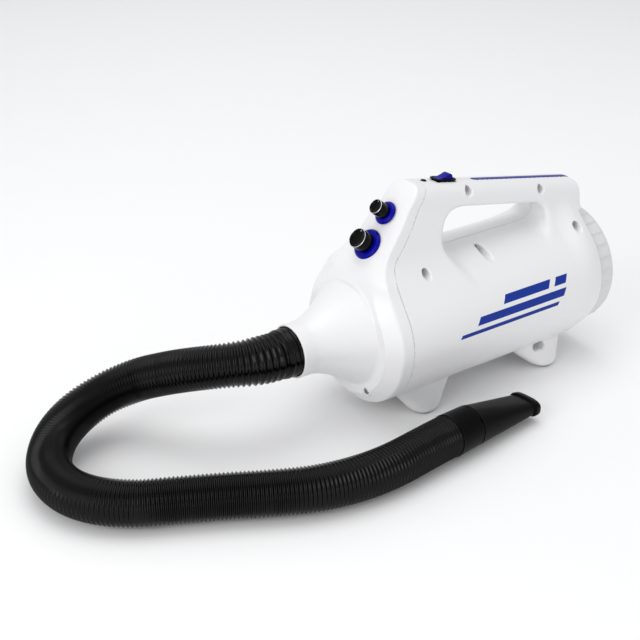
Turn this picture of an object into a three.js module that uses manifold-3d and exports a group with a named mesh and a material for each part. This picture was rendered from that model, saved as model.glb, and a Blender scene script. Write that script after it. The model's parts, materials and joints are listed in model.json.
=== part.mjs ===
// Car dryer blower: a hand-carried blower with a barrel body, a loop handle, two control knobs,
// a twist-off intake cap and a corrugated hose with a flat nozzle. Millimetres, +Z up.
// The origin is on the floor under the middle of the body. The barrel's axis runs along X,
// the air outlet points to -X and the intake cap to +X.
import * as THREE from 'three';
import { mergeVertices } from 'three/addons/utils/BufferGeometryUtils.js';
import Module from 'manifold-3d';

const wasm = await Module();
wasm.setup();

// ---------------------------------------------------------------- driving dimensions
const AXIS_Z = 88; // height of the barrel's axis above the floor
const BARREL_R = 75;
const CROWN = 0.86; // the barrel's upper half is this much flatter than a circle
const WALL = 3;
const GAP = 0.3; // clearance between touching pieces
const ROUND = 24; // sides of a large turned piece
const SMALL = 12; // sides of a small turned piece

const OUTLET_X = -186; // mouth of the bell
const FACE_X = -123; // flat front face of the cover
const COVER_X = -107; // front edge of the cover's full-width band
const SEAM_X = -94; // joint between the cover and the two body halves
const REAR_ROUND_X = 128; // where the barrel starts to round in
const RIM_X = 168; // open rear end of the barrel
const RIM_R = 68.3;
const CAP_END_X = 186;
const CAP_R = 66;
const INTAKE_R = 62; // bore of the rear opening
const NECK_R = 26.6;
const NECK_BORE_R = 24.6;

const SLOPE = 0.187; // fall of the handle towards the rear
const TOP_X = -27; // a point on the handle's top line
const TOP_Z = 226.3;
const BAR_UNDER_X = 12; // a point on the handle's underside
const BAR_UNDER_Z = 192.6;
const POST_REAR_X = 178;
const HOLE_FLOOR_Z = 152.4;
const SECTION_X = -57; // the handle's cross-section is drawn at this X
const SWITCH_X = -2;
const LAMP_X = -26.7;
const STRIP_X = 27; // front end of the coloured strip on the handle
const STRIP_LENGTH = 140;
const CORD_Z = 166; // height of the supply cord's bushing in the rear post

const PANEL = new THREE.Vector3(-82.8, 0, 188.4); // middle of the control panel
const PANEL_UP = new THREE.Vector3(0.618, 0, 0.786); // up along the panel
const PANEL_OUT = new THREE.Vector3(-0.786, 0, 0.618); // out of the panel
const KNOB_SPREAD = 17.2; // each knob's distance from the panel's middle
const BEZEL_HEIGHT = 4;
const KNOB_TOP = 17.2; // height of the knobs' faces above the panel

const FOOT_X = [-53, 114];
const FOOT_LEAN = [-9, -24]; // shift of each leg's top along X
const FOOT_Y = 44;
const FOOT_R = 13.5;
const FOOT_BASE_Z = 1; // underside of the moulded legs; the rubber pads stand proud of it

const SHAFT_R = 4;
const FAN_R = 56;
const MOUNT_REAR = [118, 128]; // from and to, along X
const MOUNT_FRONT = [-8, 2];
const MOUNT_FRONT_R = 42.5;

const HOSE_R = 21;
const HOSE_BORE_R = 18;
const CUFF_R = 24.2;
const HOSE_START_X = -200;
const NOZZLE_LENGTH = 116;

// Side screws: x, z and the depth of the sunk head from the body's middle plane.
const SIDE_SCREWS = [
  { name: 'body_screw_front', x: -54.5, z: 148.5, head: 16 },
  { name: 'body_screw_middle', x: 30.4, z: 145.8, head: 16 },
  { name: 'body_screw_rear', x: 152, z: 147.5, head: 16 },
  { name: 'handle_screw_front', x: 17, z: 209.7, head: 8 },
  { name: 'handle_screw_rear', x: 116.5, z: 190, head: 8 },
  { name: 'body_screw_lower', x: 100, z: 24, head: 30 },
];
const BOSS_R = 6;
const SCREW_HEAD_R = 3.8;
const SCREW_R = 2;

// Cover screws sit low on the cover's flat ring, one each side.
const COVER_SCREW_Y = 37;
const COVER_SCREW_Z = AXIS_Z - 49;

// Middle line of the hose from the outlet to its nozzle, laid on the floor.
const HOSE_ROUTE = [
  [-200, 0, 88], [-207, 0, 88], [-228, 4, 88], [-252, 17, 86], [-272, 37, 80], [-288, 59, 71],
  [-307, 81, 60], [-334, 95, 48], [-364, 96, 37], [-391, 84, 28], [-411, 61, 22], [-421, 32, 21.4],
  [-419, 1, 21.4], [-405, -26, 21.4], [-382, -47, 21.4], [-350, -64, 21.4], [-312, -84, 21.4],
  [-276, -104, 21.4], [-240, -121, 21.4], [-202, -130, 21.4], [-165, -131.5, 21.4],
  [-128, -127.5, 21.4], [-106, -124.8, 21.4], [-92, -123.6, 21.4],
];

// ---------------------------------------------------------------- materials
function plastic(color, roughness) {
  return new THREE.MeshStandardMaterial({ color, roughness, metalness: 0 });
}

function metal(color, roughness) {
  return new THREE.MeshStandardMaterial({ color, roughness, metalness: 1 });
}

const WHITE = plastic(0xededee, 0.35);
const BLUE = plastic(0x0a0f9c, 0.35);
const BLACK = plastic(0x0b0b0c, 0.3);
const RUBBER = plastic(0x1a1a1b, 0.8);
const FOAM = plastic(0x2b2b2d, 1);
const STEEL = metal(0xb9bcc0, 0.35);
const ALUMINIUM = metal(0xc8cacc, 0.4);
const COPPER = metal(0xb8693a, 0.4);
const CARBON = plastic(0x232323, 0.6);
const MICA = plastic(0xb9a98a, 0.6);
const BOARD = plastic(0x1f6b3a, 0.5);

// ---------------------------------------------------------------- solids
// Turns a closed mesh into a solid that can be joined and cut.
function solid(geometry) {
  const bare = geometry.clone();
  bare.deleteAttribute('normal');
  bare.deleteAttribute('uv');
  const merged = mergeVertices(bare, 1e-4);
  const positions = merged.attributes.position.array;
  const corners = [];
  let volume = 0;
  const index = merged.index.array;
  for (let i = 0; i < index.length; i += 3) {
    const [a, b, c] = [index[i], index[i + 1], index[i + 2]];
    if (a === b || b === c || c === a) continue;
    corners.push(a, b, c);
    const p = new THREE.Vector3().fromArray(positions, 3 * a);
    const q = new THREE.Vector3().fromArray(positions, 3 * b);
    const r = new THREE.Vector3().fromArray(positions, 3 * c);
    volume += p.dot(q.cross(r));
  }
  if (volume < 0) corners.reverse();
  return new wasm.Manifold(new wasm.Mesh({
    numProp: 3,
    vertProperties: new Float32Array(positions),
    triVerts: new Uint32Array(corners),
  }));
}

function surface(body) {
  const mesh = body.getMesh();
  const geometry = new THREE.BufferGeometry();
  geometry.setAttribute('position', new THREE.BufferAttribute(mesh.vertProperties, 3));
  geometry.setIndex(new THREE.BufferAttribute(mesh.triVerts, 1));
  geometry.computeVertexNormals();
  return geometry;
}

function join(...bodies) {
  return bodies.reduce((whole, body) => whole.add(body));
}

function cut(body, ...tools) {
  return tools.reduce((rest, tool) => rest.subtract(tool), body);
}

// A turned solid about Z from [radius, z] points.
function turnedZ(points, sides = SMALL) {
  const outline = points.map(([r, z]) => new THREE.Vector2(r, z));
  return new THREE.LatheGeometry(outline, sides).rotateX(Math.PI / 2);
}

// A turned solid about X from [x, radius] points.
function turnedX(points, sides = ROUND) {
  const outline = points.map(([x, r]) => new THREE.Vector2(r, x));
  return new THREE.LatheGeometry(outline, sides).rotateZ(-Math.PI / 2);
}

function tubeX(x0, x1, inner, outer, sides = ROUND) {
  return turnedX([[x0, inner], [x0, outer], [x1, outer], [x1, inner], [x0, inner]], sides);
}

function discX(x0, x1, radius, sides = ROUND) {
  return turnedX([[x0, 0], [x0, radius], [x1, radius], [x1, 0]], sides);
}

function box(x0, x1, y0, y1, z0, z1) {
  const geometry = new THREE.BoxGeometry(x1 - x0, y1 - y0, z1 - z0);
  return geometry.translate((x0 + x1) / 2, (y0 + y1) / 2, (z0 + z1) / 2);
}

// A round bar along Y at x, z.
function barY(x, z, radius, y0, y1, sides = SMALL) {
  const geometry = new THREE.CylinderGeometry(radius, radius, y1 - y0, sides);
  return geometry.translate(x, (y0 + y1) / 2, z);
}

function shapeOf(points) {
  return new THREE.Shape(points.map(([x, y]) => new THREE.Vector2(x, y)));
}

// An outline in X and Z, given depth along Y.
function prismY(points, y0, y1) {
  const settings = { depth: y1 - y0, bevelEnabled: false };
  return new THREE.ExtrudeGeometry(shapeOf(points), settings).rotateX(Math.PI / 2).translate(0, y1, 0);
}

// An outline in Y and Z, given depth along X.
function prismX(points, x0, x1) {
  const settings = { depth: x1 - x0, bevelEnabled: false };
  const turn = new THREE.Matrix4().makeBasis(
    new THREE.Vector3(0, 1, 0),
    new THREE.Vector3(0, 0, 1),
    new THREE.Vector3(1, 0, 0),
  );
  return new THREE.ExtrudeGeometry(shapeOf(points), settings).applyMatrix4(turn).translate(x0, 0, 0);
}

// The points of a path, counter-clockwise, with curved stretches in a few steps.
function pointsOf(path, steps = 3) {
  const points = path.getPoints(steps).map((point) => [point.x, point.y]);
  const [first, last] = [points[0], points[points.length - 1]];
  if (Math.hypot(first[0] - last[0], first[1] - last[1]) < 1e-6) points.pop();
  const area = THREE.ShapeUtils.area(points.map(([x, y]) => new THREE.Vector2(x, y)));
  return area < 0 ? points.reverse() : points;
}

// Moves a counter-clockwise outline inwards, or outwards if the distance is negative.
function inset(points, distance) {
  const count = points.length;
  return points.map(([x, y], i) => {
    const [px, py] = points[(i + count - 1) % count];
    const [qx, qy] = points[(i + 1) % count];
    const before = new THREE.Vector2(x - px, y - py).normalize();
    const after = new THREE.Vector2(qx - x, qy - y).normalize();
    const inward = new THREE.Vector2(-before.y - after.y, before.x + after.x);
    const reach = 2 * distance / inward.lengthSq();
    return [x + inward.x * reach, y + inward.y * reach];
  });
}

// A part of a ring between two angles in degrees, counted from +Y towards +Z about the barrel's axis.
function sectorX(x0, x1, inner, outer, from, to) {
  const steps = 4;
  const angles = Array.from({ length: steps + 1 }, (_, i) => (
    THREE.MathUtils.degToRad(from + (to - from) * i / steps)));
  const outside = angles.map((a) => [outer * Math.cos(a), AXIS_Z + outer * Math.sin(a)]);
  const inside = angles.map((a) => [inner * Math.cos(a), AXIS_Z + inner * Math.sin(a)]);
  return prismX([...outside, ...inside.reverse()], x0, x1);
}

// ---------------------------------------------------------------- scene graph
const blower = new THREE.Group();

function add(name, shape, material, parent = blower) {
  const geometry = shape.isBufferGeometry ? surface(solid(shape)) : surface(shape);
  const mesh = new THREE.Mesh(geometry, material);
  mesh.name = name;
  parent.add(mesh);
  return mesh;
}

// ---------------------------------------------------------------- body form
// The barrel, flattened above its axis except where it meets the round intake cap.
function barrelForm(depth) {
  const rear = depth > 0 ? RIM_X + 2 : RIM_X;
  const rimRadius = depth > 0 ? INTAKE_R + depth - WALL : RIM_R;
  const geometry = turnedX([
    [FACE_X + depth, 0],
    [FACE_X + depth, 66 - depth / 2],
    [COVER_X + depth / 2, BARREL_R - depth],
    [REAR_ROUND_X, BARREL_R - depth],
    [REAR_ROUND_X + 17, BARREL_R - 0.8 - depth],
    [REAR_ROUND_X + 30, BARREL_R - 3.2 - depth],
    [RIM_X - 1 - depth, RIM_R - depth],
    [rear, rimRadius],
    [rear, 0],
  ]);
  const position = geometry.attributes.position;
  for (let i = 0; i < position.count; i += 1) {
    if (position.getZ(i) <= 0) continue;
    const rounding = THREE.MathUtils.smoothstep(position.getX(i), REAR_ROUND_X, RIM_X - 10);
    position.setZ(i, position.getZ(i) * THREE.MathUtils.lerp(CROWN, 1, rounding));
  }
  return solid(geometry.translate(0, 0, AXIS_Z));
}

function topLine(x) {
  return TOP_Z - SLOPE * (x - TOP_X);
}

function underLine(x) {
  return BAR_UNDER_Z - SLOPE * (x - BAR_UNDER_X);
}

// Half of the handle's front view, from the barrel's shoulder to its crown.
const HALF_SECTION = [
  [44, 112], [45, 136], [34.4, 153], [26.5, 168], [23, 188], [19.5, 206], [13, 222], [0, 230],
];

function sectionPoints() {
  const curve = new THREE.SplineCurve(HALF_SECTION.map(([y, z]) => new THREE.Vector2(y, z)));
  const half = curve.getPoints(8).map((point) => [point.x, point.y]);
  const other = half.slice(0, -1).reverse().map(([y, z]) => [-y, z]);
  return [...half, ...other];
}

// The side view of the handle block: control panel, top line, rear post.
function sidePoints() {
  const panelLow = [FACE_X + 1, PANEL.z + (FACE_X + 1 - PANEL.x) * PANEL_UP.z / PANEL_UP.x];
  const panelHigh = [-53, PANEL.z + (-53 - PANEL.x) * PANEL_UP.z / PANEL_UP.x];
  const path = new THREE.Path();
  path.moveTo(FACE_X + 1, AXIS_Z + 10);
  path.lineTo(...panelLow);
  path.lineTo(...panelHigh);
  path.quadraticCurveTo(-47.5, topLine(-47.5), -34, topLine(-34));
  path.lineTo(165, topLine(165));
  path.quadraticCurveTo(POST_REAR_X, topLine(POST_REAR_X), POST_REAR_X, 176);
  path.lineTo(POST_REAR_X, 157.5);
  path.lineTo(RIM_X - 1, 157.5);
  path.lineTo(RIM_X - 1, AXIS_Z + 10);
  return pointsOf(path);
}

// The finger opening under the handle.
function holePoints() {
  const path = new THREE.Path();
  path.moveTo(15, underLine(15));
  path.quadraticCurveTo(-13, 187, -13, 165);
  path.quadraticCurveTo(-13, HOLE_FLOOR_Z, 0, HOLE_FLOOR_Z);
  path.lineTo(112, HOLE_FLOOR_Z);
  path.quadraticCurveTo(126, HOLE_FLOOR_Z, 126, 163);
  path.quadraticCurveTo(126, underLine(122), 116, underLine(116));
  return pointsOf(path);
}

// The handle block follows the top line, so its section is lowered towards the rear.
function handleForm(depth) {
  const across = prismX(inset(sectionPoints(), depth), FACE_X - 2, POST_REAR_X + 6);
  const position = across.attributes.position;
  for (let i = 0; i < position.count; i += 1) {
    position.setZ(i, position.getZ(i) - SLOPE * (position.getX(i) - SECTION_X));
  }
  const along = solid(prismY(inset(sidePoints(), depth), -90, 90));
  const opening = solid(prismY(inset(holePoints(), -depth), -90, 90));
  return solid(across).intersect(along).subtract(opening);
}

// The bell that narrows from the cover to the hose.
function bellForm(depth) {
  const mouth = depth > 0 ? OUTLET_X - 2 : OUTLET_X;
  const neck = depth > 0 ? NECK_BORE_R : NECK_R;
  return solid(turnedX([
    [mouth, 0],
    [mouth, neck],
    [-169, neck + 0.4],
    [-161, 29 - depth * 0.8],
    [-153, 32.2 - depth],
    [-145, 37 - depth],
    [-137, 43 - depth],
    [-130, 50 - depth],
    [FACE_X - 1, 57.5 - depth],
    [FACE_X + 6, 58 - depth],
    [FACE_X + 6, 0],
  ]).translate(0, 0, AXIS_Z));
}

// A splayed leg under the barrel; its top leans along X.
function legForm(x, y, lean) {
  const top = AXIS_Z - 36;
  const height = top - FOOT_BASE_Z;
  const spread = 45;
  const leg = new THREE.CylinderGeometry(spread, FOOT_R, height, 12).rotateX(Math.PI / 2);
  const position = leg.attributes.position;
  for (let i = 0; i < position.count; i += 1) {
    if (position.getZ(i) < 0) continue;
    position.setX(i, position.getX(i) + lean);
    position.setY(i, position.getY(i) * 0.4 - Math.sign(y) * 6);
  }
  return solid(leg.translate(x, y, FOOT_BASE_Z + height / 2));
}

function bodyForm(depth) {
  return join(barrelForm(depth), handleForm(depth), bellForm(depth));
}

// ---------------------------------------------------------------- shells
const cavity = bodyForm(WALL);

// The cover takes everything in front of the seam.
function frontRegion(shift) {
  const path = new THREE.Path();
  path.moveTo(-220, -10);
  path.lineTo(SEAM_X + shift, -10);
  path.lineTo(SEAM_X + shift, 148);
  path.quadraticCurveTo(-91 + shift, 158, -76 + shift, 174);
  path.lineTo(-61 + shift, 192);
  path.lineTo(-33 + shift, 240);
  path.lineTo(-220, 240);
  return solid(prismY(pointsOf(path), -100, 100));
}

function panelMatrix(along, out) {
  const place = PANEL.clone().addScaledVector(PANEL_UP, along).addScaledVector(PANEL_OUT, out);
  const turn = new THREE.Matrix4().makeBasis(PANEL_UP, new THREE.Vector3(0, 1, 0).negate(), PANEL_OUT);
  return turn.setPosition(place);
}

function slopeMatrix(x) {
  const turn = new THREE.Matrix4().makeRotationY(Math.atan(SLOPE));
  return turn.setPosition(x, 0, topLine(x));
}

// A solid body with its legs, hollowed, with screw bosses inside.
function hollowBody() {
  const legs = FOOT_X.flatMap((x, i) => [-FOOT_Y, FOOT_Y].map((y) => legForm(x, y, FOOT_LEAN[i])));
  const recesses = FOOT_X.flatMap((x) => [-FOOT_Y, FOOT_Y].map((y) => (
    solid(turnedZ([[0, -2], [9.4, -2], [9.4, 3], [0, 3]]).translate(x, y, 0)))));
  const shell = cut(join(bodyForm(0), ...legs), cavity, ...recesses);
  const behindSeam = frontRegion(GAP);
  const inside = bodyForm(WALL - 0.5);
  const bosses = SIDE_SCREWS.map(({ x, z }) => solid(barY(x, z, BOSS_R, -80, 80)).intersect(inside));
  const posts = bosses.map((boss) => boss.subtract(behindSeam));
  return join(shell, ...posts).subtract(behindSeam);
}

function bodyCuts() {
  const [switchLength, switchWidth] = [25, 12];
  const slot = box(-switchLength / 2, switchLength / 2, -switchWidth / 2, switchWidth / 2, -20, 10);
  const lamp = turnedZ([[0, -10], [3, -10], [3, 5], [0, 5]]);
  const strip = box(-0.5, STRIP_LENGTH + 0.5, -3.4, 3.4, -1.5, 8);
  const bush = discX(POST_REAR_X - 12, POST_REAR_X + 5, 6.8, SMALL).translate(0, 0, CORD_Z);
  return [
    solid(slot.applyMatrix4(slopeMatrix(SWITCH_X))),
    solid(lamp.applyMatrix4(slopeMatrix(LAMP_X))),
    solid(strip.applyMatrix4(slopeMatrix(STRIP_X))),
    solid(bush),
  ];
}

function buildHousings() {
  const whole = cut(hollowBody(), ...bodyCuts());
  const nearSide = solid(box(-200, 200, -100, -GAP / 2, -5, 240));
  const farSide = solid(box(-200, 200, GAP / 2, 100, -5, 240));
  const sunk = SIDE_SCREWS.map(({ x, z, head }) => join(
    solid(barY(x, z, SCREW_HEAD_R + 0.7, -90, -head)),
    solid(barY(x, z, SCREW_R + GAP, -head - 1, 20)),
  ));
  const pilots = SIDE_SCREWS.map(({ x, z }) => solid(barY(x, z, SCREW_R + GAP, -2, 10)));
  add('housing_near', cut(whole.intersect(nearSide), ...sunk), WHITE);
  add('housing_far', cut(whole.intersect(farSide), ...pilots), WHITE);
}

function buildScrews() {
  SIDE_SCREWS.forEach(({ name, x, z, head }) => {
    const screw = turnedZ([
      [0, 0], [SCREW_HEAD_R, 0], [SCREW_HEAD_R, 2], [SCREW_R, 2], [SCREW_R, head + 7], [0, head + 9],
    ], 12);
    screw.rotateX(-Math.PI / 2).translate(x, -head - 2 - GAP, z);
    add(name, screw, STEEL);
  });
}

function buildCover() {
  const region = frontRegion(0);
  const stiffener = solid(tubeX(FACE_X + 2, SEAM_X - 4, 60, 66).translate(0, 0, AXIS_Z));
  const band = stiffener.intersect(bodyForm(WALL - 0.5)).intersect(solid(box(-200, 0, -80, 80, 0, 60)));
  const knobHoles = [-KNOB_SPREAD, KNOB_SPREAD].map((along) => (
    solid(turnedZ([[0, -8], [4.6, -8], [4.6, 8], [0, 8]]).applyMatrix4(panelMatrix(along, 0)))));
  const screwHoles = [-COVER_SCREW_Y, COVER_SCREW_Y].map((y) => join(
    solid(discX(FACE_X - 5, FACE_X + 2.2, 3.3, SMALL).translate(0, y, COVER_SCREW_Z)),
    solid(discX(FACE_X - 5, FACE_X + 20, SCREW_R + GAP, SMALL).translate(0, y, COVER_SCREW_Z)),
  ));
  const pads = [-COVER_SCREW_Y, COVER_SCREW_Y].map((y) => (
    solid(discX(FACE_X + 1, FACE_X + 14, 5.5, SMALL).translate(0, y, COVER_SCREW_Z))));
  const shell = join(bodyForm(0).subtract(cavity), band, ...pads).intersect(region);
  add('front_cover', cut(shell, ...knobHoles, ...screwHoles), WHITE);
  ['near', 'far'].forEach((side, i) => {
    const y = i === 0 ? -COVER_SCREW_Y : COVER_SCREW_Y;
    const screw = turnedX([
      [FACE_X + 0.4, 0], [FACE_X + 0.4, 2.9], [FACE_X + 1.9, 2.9], [FACE_X + 1.9, SCREW_R],
      [FACE_X + 16, SCREW_R], [FACE_X + 17, 0],
    ], 12);
    add(`cover_screw_${side}`, screw.translate(0, y, COVER_SCREW_Z), STEEL);
  });
}

function buildFeet() {
  const corners = [['front', FOOT_X[0]], ['rear', FOOT_X[1]]];
  corners.forEach(([end, x]) => {
    [['near', -FOOT_Y], ['far', FOOT_Y]].forEach(([side, y]) => {
      const pad = turnedZ([[0, 0], [8.4, 0], [9, 0.6], [9, 2.6], [0, 2.6]]).translate(x, y, 0);
      add(`foot_pad_${end}_${side}`, pad, RUBBER);
    });
  });
}

// ---------------------------------------------------------------- intake end
// The cap's grip is a ring of shallow saw teeth.
function gripPoints(radius, height, teeth) {
  return Array.from({ length: teeth * 2 }, (_, i) => {
    const angle = 2 * Math.PI * (i + (i % 2) * 0.7) / (teeth * 2);
    const r = radius + (i % 2) * height;
    return [r * Math.cos(angle), AXIS_Z + r * Math.sin(angle)];
  });
}

function buildIntake() {
  const outer = solid(prismX(gripPoints(CAP_R, 1.5, 24), RIM_X + GAP, CAP_END_X));
  const rounded = solid(turnedX([
    [RIM_X, 0], [RIM_X, CAP_R + 2], [CAP_END_X - 4, CAP_R + 1.5], [CAP_END_X - 1.2, CAP_R - 0.2],
    [CAP_END_X, CAP_R - 3], [CAP_END_X, 0],
  ]).translate(0, 0, AXIS_Z));
  const spigot = solid(tubeX(RIM_X - 8, RIM_X + 2, 58.6, INTAKE_R - 0.9).translate(0, 0, AXIS_Z));
  const hollow = solid(discX(RIM_X - 9, CAP_END_X - 3, 58.6).translate(0, 0, AXIS_Z));
  const slots = Array.from({ length: 12 }, (_, i) => {
    const slot = box(-5, 5, -2.5, 2.5, 16, 52);
    return solid(slot.rotateX(i * Math.PI / 6).translate(CAP_END_X, 0, AXIS_Z));
  });
  add('rear_cap', cut(join(outer.intersect(rounded), spigot), hollow, ...slots), WHITE);

  const ring = solid(tubeX(RIM_X - 8, RIM_X + 3, 54.5, 57.7).translate(0, 0, AXIS_Z));
  const bars = [-36, -18, 0, 18, 36].map((z) => (
    solid(box(RIM_X - 8, RIM_X - 5, -57, 57, AXIS_Z + z - 1.2, AXIS_Z + z + 1.2))));
  const disc = solid(discX(RIM_X - 9, RIM_X, 56).translate(0, 0, AXIS_Z));
  add('filter_carrier', join(ring, ...bars.map((bar) => bar.intersect(disc))), BLACK);
  const foam = discX(RIM_X + 3 + GAP, CAP_END_X - 3.4, 57.7).translate(0, 0, AXIS_Z);
  add('filter_foam', foam, FOAM);
}

// ---------------------------------------------------------------- handle trim, switch and lamp
function buildTopFittings() {
  const strip = new THREE.Shape();
  strip.absarc(3, 0, 3, Math.PI / 2, Math.PI * 1.5);
  strip.absarc(STRIP_LENGTH - 3, 0, 3, -Math.PI / 2, Math.PI / 2);
  const settings = { depth: 1.7, bevelEnabled: false, curveSegments: 6 };
  const trim = new THREE.ExtrudeGeometry(strip, settings).translate(0, 0, -1.1);
  const trimMesh = add('handle_trim', trim, BLUE);
  trimMesh.applyMatrix4(slopeMatrix(STRIP_X));

  const lamp = turnedZ([[0, -7], [2.6, -7], [2.6, 0.4], [1.6, 1], [0, 1.2]], 12);
  add('indicator_lamp', lamp, BLACK).applyMatrix4(slopeMatrix(LAMP_X));

  const seat = new THREE.Group();
  seat.applyMatrix4(slopeMatrix(SWITCH_X));
  blower.add(seat);
  const flange = solid(box(-14, 14, -7, 7, 0.8, 2.4));
  const body = solid(box(-12, 12, -5.6, 5.6, -16, 1));
  const well = solid(box(-11, 11, -4.6, 4.6, -9, 4));
  add('switch_frame', cut(join(flange, body), well), BLACK, seat);
  const rocker = new THREE.Path();
  rocker.moveTo(-10.3, 1.2);
  rocker.lineTo(-9.6, 2.6);
  rocker.quadraticCurveTo(-2, 3.2, 3.5, 6.2);
  rocker.quadraticCurveTo(7, 7.6, 9.2, 2.6);
  rocker.lineTo(9.4, 0);
  rocker.lineTo(4, -4.4);
  rocker.lineTo(-4, -4.4);
  rocker.lineTo(-10.3, -2);
  add('switch_rocker', prismY(pointsOf(rocker), -4.3, 4.3), BLUE, seat);
}

// ---------------------------------------------------------------- control knobs
// A knob on its shaft, the ring it stands in, and the control behind the panel.
function buildKnob(name, along, radius, ringRadius) {
  const place = new THREE.Group();
  place.applyMatrix4(panelMatrix(along, 0));
  blower.add(place);
  const ring = turnedZ([
    [4.6, GAP], [ringRadius - 0.5, GAP], [ringRadius, 1.8], [ringRadius - 1.2, 3.4],
    [ringRadius - 3, BEZEL_HEIGHT], [4.6, BEZEL_HEIGHT], [4.6, GAP],
  ], 16);
  add(`${name}_bezel`, ring, BLUE, place);
  const base = BEZEL_HEIGHT + GAP + 0.1;
  const top = KNOB_TOP;
  const step = radius - 0.9;
  const knob = turnedZ([
    [3.3, base], [radius - 0.4, base], [radius, base + 0.6], [radius - 0.2, top - 1.3], [step, top - 1.3],
    [step, top], [step - 1.2, top - 0.6], [0, top - 0.6], [0, top - 4], [3.3, top - 4], [3.3, base],
  ], 16);
  add(`${name}_knob`, knob, BLACK, place);
  const trim = turnedZ([
    [step + GAP, top - 1], [radius, top - 1], [radius, top - 0.4], [radius - 0.3, top], [step + GAP, top],
    [step + GAP, top - 1],
  ], 16);
  add(`${name}_knob_trim`, trim, STEEL, place);
  const control = turnedZ([
    [0, -14], [7.6, -14], [7.6, -WALL - 2], [4.3, -WALL - 2], [4.3, 2.4], [3.3, 2.4], [3.3, -11], [0, -11],
  ]);
  add(`${name}_control`, control, ALUMINIUM, place);
  const shaft = turnedZ([[0, -10.6], [3, -10.6], [3, top - 4.4], [0, top - 4.4]]);
  add(`${name}_shaft`, shaft, STEEL, place);
}

// ---------------------------------------------------------------- motor and fan
function buildMotor() {
  const lift = (geometry) => geometry.translate(0, 0, AXIS_Z);
  add('motor_shaft', lift(discX(-4, 133, SHAFT_R, SMALL)), STEEL);
  add('armature_core', lift(tubeX(42, 74, SHAFT_R + GAP, 23, 20)), STEEL);
  add('commutator', lift(tubeX(18, 34, SHAFT_R + GAP, 12, 16)), COPPER);
  add('bearing_front', lift(tubeX(-2, 6, SHAFT_R + GAP, 11, 14)), STEEL);
  add('bearing_rear', lift(tubeX(88, 96, SHAFT_R + GAP, 11, 14)), STEEL);

  const yoke = solid(lift(tubeX(42, 74, 36, 41)));
  const poles = [90, 270].map((middle) => solid(sectorX(42, 74, 23.6, 37, middle - 38, middle + 38)));
  add('stator_core', join(yoke, ...poles), STEEL);
  [['upper', 90], ['lower', 270]].forEach(([side, middle]) => {
    const legs = [-1, 1].map((turn) => (
      solid(sectorX(37, 79, 25, 35.6, middle + turn * 56 - 14, middle + turn * 56 + 14))));
    const ends = [[37, 41.5], [74.5, 79]].map(([x0, x1]) => (
      solid(sectorX(x0, x1, 25, 35.6, middle - 60, middle + 60))));
    add(`field_coil_${side}`, join(...legs, ...ends), COPPER);
  });

  const cup = turnedX([
    [-4, 11.3], [-4, 42], [36, 42], [36, 38.5], [8, 38.5], [6.3, 30], [6.3, 11.3], [-4, 11.3],
  ]);
  const windows = [-1, 1].map((side) => solid(box(12, 33, side * 36 - 8, side * 36 + 8, 60, 116)));
  const vents = Array.from({ length: 6 }, (_, i) => (
    solid(box(-6, 10, -5, 5, 17, 34).rotateX((i + 0.5) * Math.PI / 3).translate(0, 0, AXIS_Z))));
  const bracket = cut(solid(lift(cup)), ...windows, ...vents);
  add('motor_bracket', bracket, ALUMINIUM);
  [['near', -1], ['far', 1]].forEach(([side, sign]) => {
    const [y0, y1] = sign < 0 ? [-33, -15] : [15, 33];
    const holder = solid(box(21, 31, y0, y1, AXIS_Z - 6, AXIS_Z + 6));
    const bore = solid(box(22.7, 29.3, y0 - 2, y1 + 2, AXIS_Z - 4.3, AXIS_Z + 4.3));
    add(`brush_holder_${side}`, holder.subtract(bore), BLACK);
    const [b0, b1] = sign < 0 ? [-27, -12.4] : [12.4, 27];
    add(`carbon_brush_${side}`, box(23, 29, b0, b1, AXIS_Z - 4, AXIS_Z + 4), CARBON);
  });

  const can = turnedX([
    [96.4, 11.3], [84, 11.3], [84, 14], [82, 41], [84, 43], [100, 43], [104, FAN_R], [138, FAN_R],
    [138, 22], [136.6, 22], [136.6, FAN_R - 1.4], [105.2, FAN_R - 1.4], [101.6, 40], [96.4, 40],
    [96.4, 11.3],
  ]);
  const ports = Array.from({ length: 6 }, (_, i) => (
    solid(box(78, 102, -6, 6, 18, 36).rotateX(i * Math.PI / 3).translate(0, 0, AXIS_Z))));
  add('fan_housing', cut(solid(lift(can)), ...ports), ALUMINIUM);
  add('fan_impeller', impeller(), ALUMINIUM);
}

// A backward-curved centrifugal wheel: a back plate, a hub and eight blades.
function impeller() {
  const plate = solid(tubeX(113, 115, SHAFT_R + GAP, 49, 24).translate(0, 0, AXIS_Z));
  const hub = solid(tubeX(113, 126, SHAFT_R + GAP, 9, 14).translate(0, 0, AXIS_Z));
  const blades = Array.from({ length: 8 }, (_, i) => {
    const blade = box(114.5, 130, -0.8, 0.8, 0, 33);
    blade.rotateX(-0.55).translate(0, -4, 18).rotateX(i * Math.PI / 4);
    return solid(blade.translate(0, 0, AXIS_Z));
  });
  return join(plate, hub, ...blades);
}

// Rubber rings that hold the motor in the barrel.
function buildMotorMounts() {
  const space = bodyForm(WALL + 2 * GAP);
  const ringOf = ([x0, x1], inner) => (
    solid(tubeX(x0, x1, inner, BARREL_R).translate(0, 0, AXIS_Z)).intersect(space));
  add('motor_mount_rear', ringOf(MOUNT_REAR, FAN_R + GAP), RUBBER);
  add('motor_mount_front', ringOf(MOUNT_FRONT, MOUNT_FRONT_R), RUBBER);
}

// ---------------------------------------------------------------- heater
class Helix extends THREE.Curve {
  constructor(x0, x1, radius, turns) {
    super();
    Object.assign(this, { x0, x1, radius, turns });
  }

  getPoint(t, target = new THREE.Vector3()) {
    const angle = 2 * Math.PI * this.turns * t;
    const x = this.x0 + (this.x1 - this.x0) * t;
    return target.set(x, this.radius * Math.cos(angle), AXIS_Z + this.radius * Math.sin(angle));
  }
}

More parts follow.
